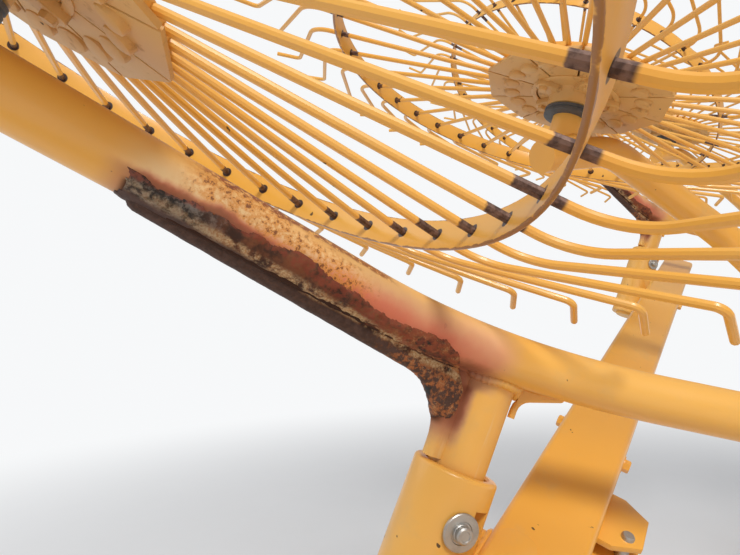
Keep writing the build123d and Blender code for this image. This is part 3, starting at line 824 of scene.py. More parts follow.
def castingMesh(sizes):
    build = bmesh.new()
    housing, below, above, flange = (sizes[k] for k in ("housingRadius", "below", "above", "flangeRadius"))
    bore, reach, radius, half = (sizes[k] for k in ("spindleRadius", "lobeReach", "lobeRadius", "lobeHalf"))
    lathe(build, [
        (bore, below), (housing - 0.006, below), (housing, below + 0.004), (housing, -0.034),
        (housing + 0.004, -0.028),
        (housing + 0.026, -0.026), (flange, -0.019), (flange, -0.006), (housing, -0.004),
        (housing, above - 0.004),
        (housing - 0.004, above), (bore, above)], 64)
    outline = [(housing * 0.8, -half), (reach - 0.004, -radius)]
    outline += [(reach + radius * math.sin(math.radians(a)), -radius * math.cos(math.radians(a)))
                for a in range(20, 161, 20)]
    outline += [(reach - 0.004, radius), (housing * 0.8, half)]
    for angle in turns(sizes["lobes"]):
        prism(build, outline, sizes["lobeLow"], sizes["lobeHigh"], Matrix.Rotation(angle, 4, "Z"), 0.003)
    lathe(build, [(0.079, -0.0255), (0.079, -0.0285), (0.084, -0.0295), (0.090, -0.0275), (0.090, -0.0255)],
          80)
    return fromBmesh("hubCasting", build, "hub")


def turnedMesh(name, rows, steps, finish):
    build = bmesh.new()
    lathe(build, rows, steps)
    return fromBmesh(name, build, finish)


def makeHubMesh(sizes):
    plates = ringMesh("hubPlates", plateMesh(sizes), sizes["plateCount"], "hub", 0.0, sizes["plateLoose"], 5)
    bolt = boltMesh(sizes["boltRadius"], sizes["boltHeight"], finish="hub")
    bolt.transform(Matrix.Translation((sizes["lobeReach"], 0,
                                       sizes["lobeLow"] + 0.001)) @ Matrix.Rotation(math.pi, 4, "X"))
    bolts = ringMesh("lobeBolts", bolt, sizes["lobes"], "hub")
    bore, ring, low = sizes["spindleRadius"], sizes["sealRadius"], sizes["below"]
    seal = turnedMesh("sealDisc", [
        (bore, low), (ring, low), (ring, low - 0.005), (ring - 0.002, low - 0.006),
        (ring - 0.002, low - 0.008),
        (ring, low - 0.009), (ring, low - 0.013), (ring - 0.003, low - 0.0145), (bore, low - 0.0145)], 64,
        "seal")
    wide, high = sizes["capRadius"], sizes["above"]
    cap = turnedMesh("hubCap", [(bore, high - 0.002), (wide, high - 0.002), (wide, high + 0.006),
                                (wide - 0.006, high + 0.011), (bore, high + 0.011)], 48, "hub")
    return autoSmooth(storePlace(joinMeshes("hub", [plates, castingMesh(sizes), bolts, seal, cap])))


hubMesh = makeHubMesh(hubSizes)
for side in sides:
    for number in range(1, 5):
        putPiece(f"rakeHub_{number}_{side}", side, hubMesh.copy(), wheelFrame(number),
                 f"rake_wheel_{number}_{side}",
                 f"rake_hub_{number}_{side}")
print("hubs made")


# Rocker: bent tube, stub with two webs, weld beads and the flaking rust along the rear web
rockerSizes = {
    "tubeRadius": 0.034,
    "corners": (((0, 0, 0), 0.740), ((0.295, -0.400, 0.084), 0.150), ((0.834, -0.184, 0.487), 0.150),
                ((0.413, 0.117, 0.568), 0.110)),
    "overhang": 0.048,
    "spindleHeights": (0.130, 0.157),
    "bossRadius": 0.031,
    "bossGap": 0.070,
    "spindleRadius": 0.020,
    "spindleAbove": 0.046,
    "stubRadius": 0.041,
    "stubLength": 0.470,
    "webs": ((0.510, 0.0295, 0.0495, 0.095, -0.145, 0.0525, 0.0105),
             (0.105, 0.028, 0.040, 0.024, -0.060, 0.048, 0.005)),
    "weldRadius": 0.006,
}


def filletPath(points, radii):
    # corners rounded to arcs, as a list of points
    path = [Vector(points[0])]
    for behind, corner, ahead, radius in zip(points, points[1:], points[2:], radii):
        corner = Vector(corner)
        back, out = (Vector(behind) - corner).normalized(), (Vector(ahead) - corner).normalized()
        half = back.angle(out) / 2
        middle = corner + (back + out).normalized() * radius / math.sin(half)
        first = corner + back * radius / math.tan(half) - middle
        last = corner + out * radius / math.tan(half) - middle
        count = max(4, round(first.angle(last) * radius / 0.012))
        path += [middle + first.slerp(last, k / count).normalized() * radius for k in range(count + 1)]
    path.append(Vector(points[-1]))
    return path


def rockerLines(sizes):
    # tube's path and its two feet, in the rocker frame
    inverse = rockerFrame(0).inverted()
    feet = []
    for number, height in zip((1, 2), sizes["spindleHeights"]):
        hub = inverse @ wheelFrame(number)
        feet.append((hub.translation - hub.col[2].to_3d() * height, hub.col[2].to_3d(), height))
    corners = [Vector(place) for place, bend in sizes["corners"]]
    bends = [bend for place, bend in sizes["corners"]]
    rear, front = feet[0][0], feet[1][0]
    start = rear + (rear - corners[0]).normalized() * sizes["overhang"]
    end = front + (front - corners[-1]).normalized() * sizes["overhang"]
    return filletPath([start, *corners, end], bends), feet, (rear, corners[1])


def webPath(toward, web):
    # line of the web's round edge: under the tube, then down the stub
    reach, depth, stubDepth, bend, lowest, stand, radius = web
    flat = Vector((toward.x, toward.y, 0)).normalized()
    rise = toward.z / toward.dot(flat)
    corners = [flat * reach + Vector((0, 0, rise * reach - depth)),
               flat * stand + Vector((0, 0, rise * stand - stubDepth)),
               flat * stand + Vector((0, 0, lowest))]
    return filletPath(corners, [bend]), flat, rise


def rockerBody(sizes):
    build = bmesh.new()
    path, feet, towards = rockerLines(sizes)
    tube(build, path, sizes["tubeRadius"], 56)
    stub = sizes["stubRadius"]
    lathe(build, [(0, 0.0), (stub, 0.0), (stub, -sizes["stubLength"] + 0.003),
                  (stub - 0.003, -sizes["stubLength"]), (0, -sizes["stubLength"])], 64)
    for place, spindle, height in feet:
        stand = framed(place, (1, 0, 0), spindle)
        top = height - sizes["bossGap"]
        boss = sizes["bossRadius"]
        lathe(build, [(boss, 0), (boss, top - 0.003), (boss - 0.003, top), (0.022, top)], 48, stand)
        core = sizes["spindleRadius"]
        lathe(build, [(core, 0), (core, height + sizes["spindleAbove"] - 0.002),
                      (core - 0.002, height + sizes["spindleAbove"]), (0, height + sizes["spindleAbove"])],
                      40, stand)
        low = sizes["tubeRadius"]
        tube(build, [stand @ Vector((boss * math.cos(a), boss * math.sin(a),
                                     low - 0.010 * math.cos(2 * a) - 0.004))
                                     for a in (2 * math.pi * k / 72 for k in range(72))],
             [sizes["weldRadius"] * (0.9 + 0.16 * math.sin(k * 2.2)) for k in range(72)], 10, closed=True)
    for toward, web in zip(towards, sizes["webs"]):
        edge, flat, rise = webPath(toward, web)
        aside = flat.cross(up)
        webRadius = web[6]
        for sign in (-1, 1):
            out = aside * webRadius * sign * 0.995
            outer = [build.verts.new(p + out) for p in edge]
            inner = []
            for p in edge:
                along = p.dot(flat)
                share = min(1.0, max(0.0, (0.14 - rise * along + p.z) / 0.07))
                core = flat * along * share + Vector((0, 0, p.z * (1 - share) + rise * along * share))
                inner.append(build.verts.new(core + out))
            for a, b, c, d in zip(outer, outer[1:], inner[1:], inner):
                build.faces.new((a, b, c, d) if sign > 0 else (d, c, b, a))
        tube(build, edge, webRadius, 24)
        lathe(build, [(0, -webRadius), (webRadius * 0.7, -webRadius * 0.7), (webRadius, 0),
                      (webRadius * 0.7, webRadius * 0.7), (0, webRadius)], 20, Matrix.Translation(edge[0]))
    return build, towards


def meshTree(build):
    build.normal_update()
    return BVHTree.FromBMesh(build)


def weldRing(surface, sizes, build):
    # bead where the stub meets the tube, found by looking up along the stub's wall
    reach = sizes["stubRadius"] + 0.0025
    points = []
    for k in range(120):
        angle = 2 * math.pi * k / 120
        foot = Vector((reach * math.cos(angle), reach * math.sin(angle), -0.075))
        hit = surface.ray_cast(foot, up)[0]
        height = hit.z if hit and hit.z > -0.07 else -0.006
        points.append([foot.x, foot.y, min(height, 0.012) - 0.002])
    for turn in range(6):
        points = [[p[0], p[1], (a[2] + 2 * p[2] + b[2]) / 4] for a, p,
                  b in zip(points[-1:] + points, points, points[1:] + points[:1])]
    sizesAlong = [sizes["weldRadius"] * (1.15 + 0.14 * math.sin(k * 1.9) + 0.25 * noise.noise(Vector(points[k]) * 40)) for k in range(len(points))]
    tube(build, points, sizesAlong, 12, closed=True)


def weldRun(build, points, radius, seed=0.0):
    # a line of weld with its ripples
    sizesAlong = [radius * (1 + 0.12 * math.sin(k * 2.1) + 0.3 * noise.noise(Vector(p) * 45 + Vector((seed, 0,
                                                                                                      0))))
                                                                                                      for k,
                                                                                                      p in enumerate(points)]
    tube(build, points, sizesAlong, 10)


rustSizes = {
    "from": 0.525,
    "lowest": -0.112,
    "fan": 104,
    "narrow": 46,
    "fanSteps": 76,
    "spacing": 0.0026,
    "depth": 0.0030,
    "flake": 0.0042,
    "sunk": 0.0015,
}


def rustLayer(surface, toward, web, sizes):
    # scale that wraps the web's edge and climbs the tube, thick and terraced, ragged at its border
    edge, flat, rise = webPath(toward, web)
    line = [p for p in edge if p.dot(flat) < sizes["from"] and p.z > sizes["lowest"]]
    start = flat * (sizes["from"] + 0.012) + Vector((0, 0, rise * sizes["from"] - web[1] + 0.001))
    line = [start] + line
    dense = []
    for a, b in zip(line, line[1:]):
        count = max(1, round((b - a).length / sizes["spacing"]))
        dense += [a.lerp(b, k / count) for k in range(count)]
    aside = flat.cross(up)
    build = bmesh.new()
    rows = []
    total = len(dense)
    for row, point in enumerate(dense):
        ahead = dense[min(row + 4, total - 1)] - dense[max(row - 4, 0)]
        inward = ahead.normalized().cross(aside)
        inward = inward if inward.dot(up - flat * 0.4) > 0 else -inward
        along = point.dot(flat)
        lift = 0.016 + 0.012 * min(1, max(0, (0.50 - along) / 0.12)) + 0.014 * min(1,
                                                                                   max(0,
                                                                                       (0.20 - along) / 0.08))
        lift -= 0.022 * min(1, max(0, (-0.070 - point.z) / 0.03))
        centre = point + inward * lift
        ring = []
        fan = math.radians(sizes["fan"] - sizes["narrow"] * min(1, max(0, (-0.020 - point.z) / 0.060)))
        for k in range(sizes["fanSteps"] + 1):
            angle = fan * (2 * k / sizes["fanSteps"] - 1)
            out = aside * math.sin(angle) - inward * math.cos(angle)
            found, normal = surface.ray_cast(centre + out * 0.12, -out, 0.16)[:2]
            if found is None:
                found, normal = centre + out * 0.010, out
            if normal.dot(out) < 0:
                normal = -normal
            spot = found * 42
            wide = noise.fractal(found * 16, 1.0, 2.0, 3)
            rough = noise.fractal(spot, 0.9, 2.1, 5)
            terraces = math.floor((rough + 1) * 4) / 4 - 1
            border = 1 - abs(angle) / fan
            border = min(border * 5.5, (row + 1) / 7, (total - row) / 16) + wide * 0.55 + rough * 0.35 - 0.35
            calm = min(1, max(0.12, (found.z - along * 0.123 + 0.0525) / 0.012)) if along > 0.12 else 0.7
            thick = sizes["depth"] + sizes["flake"] * (0.5 * terraces + 0.35 * rough + 0.25 * wide) * calm - 0.0008 * (1 - calm)
            thick = max(thick, 0.0013) if border > 0 else -sizes["sunk"]
            thick *= min(1.0, 0.35 + border * 1.4) if border > 0 else 1.0
            ring.append(build.verts.new(found + (out * 0.5 + normal * 0.5).normalized() * thick))
        rows.append(ring)
    for low, high in zip(rows, rows[1:]):
        for a, b, c, d in zip(low, low[1:], high[1:], high):
            build.faces.new((a, b, c, d))
    bmesh.ops.recalc_face_normals(build, faces=build.faces)
    middle = rows[total // 2][sizes["fanSteps"] // 2]
    if middle.normal.dot(Vector((0, 0, -1))) < 0:
        bmesh.ops.reverse_faces(build, faces=build.faces)
    return fromBmesh("rustLayer", build, "scale", False)


def makeRockerMesh(sizes, rust):
    build, towards = rockerBody(sizes)
    surface = meshTree(build)
    scale = rustLayer(surface, towards[0], sizes["webs"][0], rust)
    weldRing(surface, sizes, build)
    for toward, web in zip(towards, sizes["webs"]):
        edge, flat, rise = webPath(toward, web)
        aside = flat.cross(up)
        for sign in (-1, 1):
            run = []
            for k in range(60):
                along = 0.052 + (web[0] - 0.03 - 0.052) * k / 59
                spot = flat * along + aside * sign * (web[6] + 0.002) + Vector((0, 0, rise * along - 0.09))
                hit = surface.ray_cast(spot, up)[0]
                run.append(Vector((spot.x, spot.y, hit.z if hit else rise * along - 0.034)))
            weldRun(build, run, 0.004, sign)
    body = fromBmesh("rockerBody", build, "rocker")
    return autoSmooth(storePlace(joinMeshes("rocker", [body, scale])), 40)


rockerMesh = makeRockerMesh(rockerSizes, rustSizes)


for side in sides:
    for index in range(2):
        name = f"rocker_{index + 1}_{side}"
        putPiece(name + "_piece", side, rockerMesh.copy(), rockerFrame(index), name, name)
print("rockers made")


# Frames that hang on the boom, on the left side
boomPlace = framed(frameFacing["boomOrigin"], frameFacing["boomX"], frameFacing["boomZ"])


def pivotFrame(index):
    return rockerFrame(index) @ Matrix.Rotation(math.radians(frameFacing["restAngle"]), 4, "Z")


def foldFrame():
    joint = joints["fold_left"]
    end = boomPlace @ Vector(frameFacing["beamEnd"])
    return framed(joint["pos_m"], end - Vector(joint["pos_m"]), joint["axis"])


def cylinderFrame():
    # from the mast's pin: Z along the rod, X along the pin
    return framed(joints["cylinder_swing_left"]["pos_m"], joints["fold_left"]["axis"],
                  joints["cylinder_slide_left"]["axis"])


def weldLoop(build, points, radius, place=identity):
    # closed line of weld through corner points
    dense = []
    for a, b in zip(points, points[1:] + points[:1]):
        a, b = Vector(a), Vector(b)
        count = max(1, round((b - a).length / 0.006))
        dense += [place @ a.lerp(b, k / count) for k in range(count)]
    widths = [radius * (1 + 0.14 * math.sin(k * 2.1) + 0.25 * noise.noise(p * 40)) for k,
              p in enumerate(dense)]
    tube(build, dense, widths, 8, closed=True)


def roundedBox(width, height, radius, steps=5):
    # outline of a rounded rectangle about the origin
    outline = []
    for cx, cy, first in ((1, 1, 0), (-1, 1, 90), (-1, -1, 180), (1, -1, 270)):
        for k in range(steps + 1):
            a = math.radians(first + 90 * k / steps)
            outline.append((cx * (width / 2 - radius) + radius * math.cos(a),
                            cy * (height / 2 - radius) + radius * math.sin(a)))
    return outline


# Sleeves: rounded rim, wider mouth, slot for the stop bolt, and a rounded block to the beam
sleeveSizes = {
    "radius": 0.060,
    "bore": 0.0412,
    "mouth": 0.045,
    "mouthDepth": 0.022,
    "top": -0.150,
    "bottom": -0.460,
    "rimRound": 0.006,
    "slotLow": -0.226,
    "slotHigh": -0.206,
    "slotFrom": -148.05,
    "slotTo": -94.35,
    "notchHigh": -0.187,
    "notchFrom": -122,
    "blockAt": -0.1395,
    "pitch": 2.090,
    "blockWidth": 0.155,
    "blockLow": -0.127,
    "blockHigh": -0.014,
    "saddleThickness": 0.004,
    "saddleReach": 0.052,
    "blockRound": 0.022,
    "beamSide": 0.0635,
    "sleeveAxis": 0.141,
    "weldRadius": 0.005,
}


def sleeveWall(build, place, sizes):
    outer, bore, mouth, top, bottom, curve = (sizes[k] for k in ("radius", "bore", "mouth", "top", "bottom",
                                                                 "rimRound"))
    profile = [(outer - 0.002, bottom), (outer, bottom + 0.002), (outer, sizes["slotLow"]),
               (outer, sizes["slotHigh"]), (outer, sizes["notchHigh"])]
    for k in range(6):
        a = math.radians(18 * k)
        profile.append((outer - curve + curve * math.cos(a), top - curve + curve * math.sin(a)))
    profile += [(mouth + 0.003, top), (mouth, top - 0.003), (mouth, top - sizes["mouthDepth"]),
                (bore, top - sizes["mouthDepth"] - 0.001),
                (bore, sizes["notchHigh"]), (bore, sizes["slotHigh"]), (bore, sizes["slotLow"]),
                (bore, bottom)]
    opening, rest = 24, 96
    notch = round(opening * (sizes["notchFrom"] - sizes["slotFrom"]) / (sizes["slotTo"] - sizes["slotFrom"]))
    first, last = math.radians(sizes["slotFrom"]), math.radians(sizes["slotTo"])
    angles = [first + (last - first) * k / opening for k in range(opening)]
    angles += [last + (first + 2 * math.pi - last) * k / rest for k in range(rest)]
    grid = [[build.verts.new(place @ Vector((r * math.cos(a), r * math.sin(a), z))) for a in angles] for r,
            z in profile]
    outside, inside = 2, len(profile) - 3
    steps = len(angles)
    for row in range(len(profile)):
        above = (row + 1) % len(profile)
        for k in range(steps):
            if row in (outside, inside) and k < opening or row in (outside + 1,
                                                                   inside - 1) and notch <= k < opening:
                continue
            build.faces.new((grid[row][k], grid[row][(k + 1) % steps], grid[above][(k + 1) % steps],
                             grid[above][k]))
    for k in range(opening):
        build.faces.new((grid[outside][k], grid[outside][k + 1], grid[inside + 1][k + 1],
                         grid[inside + 1][k]))
        over = 1 if k >= notch else 0
        build.faces.new((grid[outside + 1 + over][k], grid[inside - over][k], grid[inside - over][k + 1],
                         grid[outside + 1 + over][k + 1]))
    for k, over in ((0, 0), (opening, 0), (notch, 1), (opening, 1)):
        build.faces.new((grid[outside + over][k], grid[inside + 1 - over][k], grid[inside - over][k],
                         grid[outside + 1 + over][k]))


def makeSleeves(side, sizes):
    build = bmesh.new()
    for index in range(2):
        sleeveWall(build, pivotFrame(index), sizes)
        middle = (sizes["blockLow"] + sizes["blockHigh"]) / 2
        stand = boomPlace @ Matrix.Translation((sizes["blockAt"] + index * sizes["pitch"], 0,
                                                middle)) @ Matrix.Rotation(math.pi / 2, 4, "X")
        outline = roundedBox(sizes["blockWidth"], sizes["blockHigh"] - sizes["blockLow"], sizes["blockRound"],
                             8)
        prism(build, outline, -sizes["sleeveAxis"] + 0.030, -sizes["beamSide"] + 0.002, stand)
        weldLoop(build, [(x * 1.02, y * 1.02, -sizes["beamSide"] - 0.002) for x, y in outline],
                 sizes["weldRadius"], stand)
        saddle = boomPlace @ Matrix.Translation((sizes["blockAt"] + index * sizes["pitch"],
                                                 sizes["saddleReach"] / 2, 0))
        pad = roundedBox(sizes["blockWidth"], sizes["saddleReach"] + 0.004, 0.026, 8)
        prism(build, pad, -0.002, sizes["saddleThickness"], saddle, 0.0012)
    addPiece(f"sleeves_{side}", side, build, "paint", f"boom_{side}", f"boom_sleeves_{side}")


# Stop bolt: thick galvanised washer and a round head with a shallow recess
boltSizes = {
    "depth": -0.216,
    "direction": -121.2,
    "shank": 0.008,
    "from": 0.041,
    "washerAt": 0.0605,
    "washerRadius": 0.025,
    "washerThickness": 0.005,
    "headRadius": 0.0112,
    "headHeight": 0.010,
}


def makeStopBolt(index, side, sizes):
    turn = math.radians(sizes["direction"])
    place = rockerFrame(index) @ framed((0, 0, sizes["depth"]), (0, 0, 1),
                                        (math.cos(turn), math.sin(turn), 0))
    build = bmesh.new()
    low, thick, wide, head, tall = (sizes[k] for k in ("washerAt", "washerThickness", "washerRadius",
                                                       "headRadius", "headHeight"))
    high = low + thick
    rows = [(0, sizes["from"]), (sizes["shank"], sizes["from"]), (sizes["shank"], low), (wide - 0.001, low),
            (wide, low + 0.001), (wide, high - 0.0012),
            (wide - 0.0012, high), (head + 0.004, high), (head + 0.003, high - 0.0012),
            (head + 0.0012, high - 0.0012), (head + 0.001, high + 0.001),
            (head, high + 0.002), (head, high + tall - 0.002), (head - 0.002, high + tall),
            (head * 0.62, high + tall), (head * 0.55, high + tall - 0.0012),
            (0, high + tall - 0.0012)]
    lathe(build, rows, 64, place)
    addPiece(f"stopBolt_{index + 1}_{side}", side, build, "zinc", f"rocker_{index + 1}_{side}",
             f"stop_bolt_{index + 1}_{side}")


# Boom fittings: end caps, welds, bolts through the beam, a latch ear with its lynch pin
fittingSizes = {
    "beamSide": 0.127,
    "corner": 0.012,
    "rear": -1.180,
    "front": 2.450,
    "boltRadius": 0.012,
    "bolts": ((0.300, -1), (0.355, 1), (1.620, -1), (1.900, 1)),
    "boltHeight": -0.034,
    "earAt": 0.115,
    "earLength": 0.130,
    "earDepth": 0.062,
    "earThickness": 0.010,
    "ringRadius": 0.019,
}


def makeFittings(side, sizes):
    build = bmesh.new()
    half = sizes["beamSide"] / 2
    across = boomPlace @ Matrix.Translation((0, 0, -half)) @ framed((0, 0, 0), (0, 1, 0), (1, 0, 0))
    outline = roundedBox(sizes["beamSide"] - 0.004, sizes["beamSide"] - 0.004, sizes["corner"])
    for at, out in ((sizes["rear"], -1), (sizes["front"], 1)):
        prism(build, outline, min(at, at - out * 0.004), max(at, at - out * 0.004), across, 0.001)
        weldLoop(build, [(x, y, at - out * 0.001) for x, y in outline], 0.0030, across)
    for at, out in sizes["bolts"]:
        place = boomPlace @ framed((at, out * half, sizes["boltHeight"]), (1, 0, 0), (0, out, 0))
        part = boltMesh(sizes["boltRadius"], 0.011, 0.017)
        part.transform(place)
        merge(build, part)
    low = -sizes["earThickness"] / 2
    plate = boomPlace @ framed((sizes["earAt"], -half, -0.030), (1, 0, 0), (0, 0, 1))
    reach = sizes["earDepth"]
    shape = [(-sizes["earLength"] / 2, 0.002), (-sizes["earLength"] / 2, -reach * 0.35),
             (-sizes["earLength"] * 0.28, -reach), (sizes["earLength"] * 0.28, -reach),
             (sizes["earLength"] / 2, -reach * 0.35), (sizes["earLength"] / 2, 0.002)]
    prism(build, shape, low, -low, plate, 0.002)
    prism(build, shape, low - 0.034, -low - 0.034, plate, 0.002)
    weldLoop(build, [(-sizes["earLength"] / 2, -0.001, -low + 0.001),
                     (sizes["earLength"] / 2, -0.001, -low + 0.001)], 0.003, plate)
    addPiece(f"boomFittings_{side}", side, build, "paint", f"boom_{side}")
    pin = bmesh.new()
    top = 0.012
    lathe(pin, [(0, -0.060), (0.009, -0.060), (0.010, -0.058), (0.010, top - 0.003), (0.008, top), (0, top)],
          32, plate @ Matrix.Translation((-0.030, -reach * 0.62, 0)))
    centre = plate @ Vector((-0.030, -reach * 0.62 - 0.006, -0.052 - sizes["ringRadius"]))
    lean = plate.to_3x3()
    loop = [centre + lean @ Vector((math.sin(a) * sizes["ringRadius"],
                                    0.12 * math.cos(a) * sizes["ringRadius"],
                                    math.cos(a) * sizes["ringRadius"]))
            for a in (2 * math.pi * k / 48 for k in range(48))]
    tube(pin, loop, 0.0018, 10, closed=True)
    addPiece(f"latchPin_{side}", side, pin, "zinc", f"boom_{side}")


for side in sides:
    makeSleeves(side, sleeveSizes)
    makeFittings(side, fittingSizes)
    for index in range(2):
        makeStopBolt(index, side, boltSizes)
print("sleeves and fittings made")


# Transport wheels: treaded tyre, dished rim with its nuts and cap
roadSizes = {
    "tyreRadius": 0.330,
    "halfWidth": 0.1025,
    "seat": 0.195,
    "blocks": 56,
    "nuts": 5,
    "nutCircle": 0.070,
}


def roadFrame():
    return framed(joints["road_spin_left"]["pos_m"], (1, 0, 0), (0, 1, 0))


def tyreMesh(sizes):
    build = bmesh.new()
    top, half, seat = sizes["tyreRadius"], sizes["halfWidth"], sizes["seat"]
    wall = [(seat - 0.002, 0.062), (seat + 0.004, 0.078), (seat + 0.018, 0.084), (seat + 0.024, 0.090),
            (seat + 0.030, 0.0905), (seat + 0.034, 0.096),
            (0.262, 0.1010), (0.268, 0.1020), (0.271, 0.1020), (0.276, 0.1010), (0.292, 0.1000),
            (0.308, 0.0950), (top - 0.012, 0.0860)]
    tread = [(top - 0.0085, 0.078)]
    for edge in (0.058, 0.038, 0.012):
        tread += [(top - 0.001, edge + 0.010), (top, edge + 0.008), (top, edge - 0.006),
                  (top - 0.001, edge - 0.008), (top - 0.009, edge - 0.0095), (top - 0.009, edge - 0.0105)]
    right = wall + tread
    profile = right + [(r, -z) for r, z in reversed(right)]
    lathe(build, profile + [profile[0]], 160)
    bmesh.ops.remove_doubles(build, verts=build.verts, dist=0.00005)
    parts = [fromBmesh("tyreBody", build, "rubber")]
    for out, shift in ((1, 0.0), (-1, math.pi / sizes["blocks"])):
        block = bmesh.new()
        outline = [(0.070, -0.0115), (0.098, -0.0095), (0.098, 0.0080), (0.070, 0.0115)]
        place = framed((top - 0.0015, 0, 0), (0, 0, out), (1, 0, 0))
        prism(block, outline, -0.020, 0.0, place @ Matrix.Rotation(math.radians(12), 4, "Z"), 0.002)
        for vertex in block.verts:
            over = max(0.0, abs(vertex.co.z) - 0.076)
            vertex.co.x -= over * 0.75
        block = fromBmesh("treadBlock", block, "rubber")
        parts.append(ringMesh(f"treadBlocks{out}", block, sizes["blocks"], "rubber", shift, 0.002, 3))
    return joinMeshes("tyre", parts)


def rimMesh(sizes):
    build = bmesh.new()
    seat = sizes["seat"]
    lathe(build, [(seat + 0.010, -0.066), (seat + 0.012, -0.062), (seat + 0.002, -0.058), (seat, -0.030),
                  (seat - 0.026, -0.016), (seat - 0.026, 0.016), (seat, 0.030),
                  (seat + 0.002, 0.058), (seat + 0.012, 0.062), (seat + 0.010, 0.066), (seat + 0.004, 0.063),
                  (seat - 0.005, 0.058), (seat - 0.005, 0.032),
                  (seat - 0.031, 0.019), (seat - 0.031, -0.019), (seat - 0.005, -0.032),
                  (seat - 0.005, -0.058), (seat + 0.004, -0.063), (seat + 0.010, -0.066)], 96)
    lathe(build, [(0.024, 0.030), (0.090, 0.030), (0.098, 0.026), (0.112, 0.004), (0.140, -0.010),
                  (0.164, -0.012), (0.166, -0.006), (0.142, -0.004), (0.118, 0.010),
                  (0.104, 0.032), (0.094, 0.038), (0.024, 0.038), (0.024, 0.030)], 96)
    lathe(build, [(0.0225, -0.050), (0.046, -0.050), (0.048, -0.047), (0.048, 0.026), (0.040, 0.040),
                  (0.034, 0.044), (0.034, 0.066), (0.030, 0.074), (0.014, 0.079), (0, 0.080)], 64)
    bmesh.ops.remove_doubles(build, verts=build.verts, dist=0.00005)
    nut = boltMesh(0.011, 0.014, 0.015, "zinc")
    nut.transform(Matrix.Translation((sizes["nutCircle"], 0, 0.038)))
    nuts = ringMesh("wheelNuts", nut, sizes["nuts"], "zinc", 0.3)
    return joinMeshes("rim", [fromBmesh("rimBody", build, "rim"), nuts])


def makeRoadWheel(side, sizes):
    for name, mesh, slot in (("tyre", tyreMesh(sizes), "tyre_rubber"),
                             ("road_rim", rimMesh(sizes), "rim_paint")):
        node = f"{name}_{side}"
        putPiece(node + "_piece", side, autoSmooth(mesh), roadFrame(), f"road_wheel_{side}", node)


for side in sides:
    makeRoadWheel(side, roadSizes)
print("road wheels made")


# Fold cylinder: ringed gland, ports, welded base, clevis eyes on pins
cylinderSizes = {
    "barrelRadius": 0.029,
    "barrelFrom": 0.022,
    "barrelTo": 0.352,
    "eyeRadius": 0.028,
    "eyeHalf": 0.030,
    "pinRadius": 0.014,
    "rodRadius": 0.016,
    "lug": (0.420, 0, -0.105),
}


def makeCylinder(side, sizes):
    place = cylinderFrame()
    radius, start, end = sizes["barrelRadius"], sizes["barrelFrom"], sizes["barrelTo"]
    rod = sizes["rodRadius"]
    barrel = bmesh.new()
    lathe(barrel, [(0, start), (radius - 0.002, start), (radius, start + 0.002), (radius, end - 0.030),
                   (radius + 0.0005, end - 0.029), (radius + 0.0005, end - 0.004),
                   (radius - 0.003, end), (rod + 0.004, end), (rod + 0.003, end - 0.003),
                   (rod + 0.0005, end - 0.003), (rod + 0.0005, end - 0.020)], 64, place)
    across = place @ framed((0, 0, 0), (0, 0, 1), (1, 0, 0))
    eye, half, bore = sizes["eyeRadius"], sizes["eyeHalf"], sizes["pinRadius"] + 0.0001
    ringRows = [(bore, -half), (eye - 0.0015, -half), (eye, -half + 0.0015), (eye, half - 0.0015),
                (eye - 0.0015, half), (bore, half), (bore, -half)]
    lathe(barrel, ringRows, 56, across)
    weldLoop(barrel, ringPoints(radius - 0.001, start + 0.004), 0.003, place)
    for at in (start + 0.030, end - 0.052):
        port = place @ framed((0, radius - 0.004, at), (1, 0, 0), (0, 1, 0))
        lathe(barrel, [(0, 0), (0.012, 0), (0.012, 0.016), (0.0105, 0.0175), (0.007, 0.0175), (0.007, 0.010),
                       (0, 0.010)], 6, port)
        weldLoop(barrel, ringPoints(0.0125, 0.005, 24), 0.0022, port)
    bmesh.ops.remove_doubles(barrel, verts=barrel.verts, dist=0.00002)
    addPiece(f"barrel_{side}", side, barrel, "black", f"cylinder_{side}",
             f"cylinder_barrel_{side}")
    span = (foldFrame() @ Vector(sizes["lug"]) - place.translation).length
    shaft = bmesh.new()
    lathe(shaft, [(0, 0.058), (rod, 0.058), (rod, span - eye + 0.004), (0, span - eye + 0.004)], 48, place)
    addPiece(f"rod_{side}", side, shaft, "chrome", f"cylinder_rod_{side}",
             f"cylinder_rod_{side}")
    far = place @ Matrix.Translation((0, 0, span)) @ framed((0, 0, 0), (0, 0, 1), (1, 0, 0))
    head = bmesh.new()
    lathe(head, [(0, -half), (eye - 0.0015, -half), (eye, -half + 0.0015), (eye, half - 0.0015),
                 (eye - 0.0015, half), (0, half)], 56, far)
    lathe(head, [(0, -half - 0.014), (0.012, -half - 0.014), (0.014, -half - 0.012), (0.014, -half)], 32, far)
    lathe(head, [(rod, span - eye - 0.018), (0.021, span - eye - 0.016), (0.023, span - eye - 0.008),
                 (0.023, span - eye + 0.006), (0.010, span - eye + 0.010)], 40, place)
    weldLoop(head, ringPoints(0.0215, span - eye + 0.003), 0.003, place)
    addPiece(f"rodEye_{side}", side, head, "black", f"cylinder_rod_{side}")


for side in sides:
    makeCylinder(side, cylinderSizes)
print("cylinders made")


# Cart: welds, caps, gussets, jack crank, hitch pin
cartSizes = {
    "beamX": -5.527,
    "beamZ": 0.335,
    "boxSide": 0.120,
    "boxCorner": 0.010,
    "halfLength": 1.307,
    "spineFront": -1.350,
    "legY": 0.5635,
    "legWidth": 0.080,
    "legDepth": 0.110,
    "legFoot": -0.180,
    "jackX": -1.500,
    "jackY": 0.112,
    "jackTop": 0.572,
    "crankReach": 0.150,
    "pinRadius": 0.0155,
    "pinTop": 0.092,
    "pinFoot": -0.110,
}


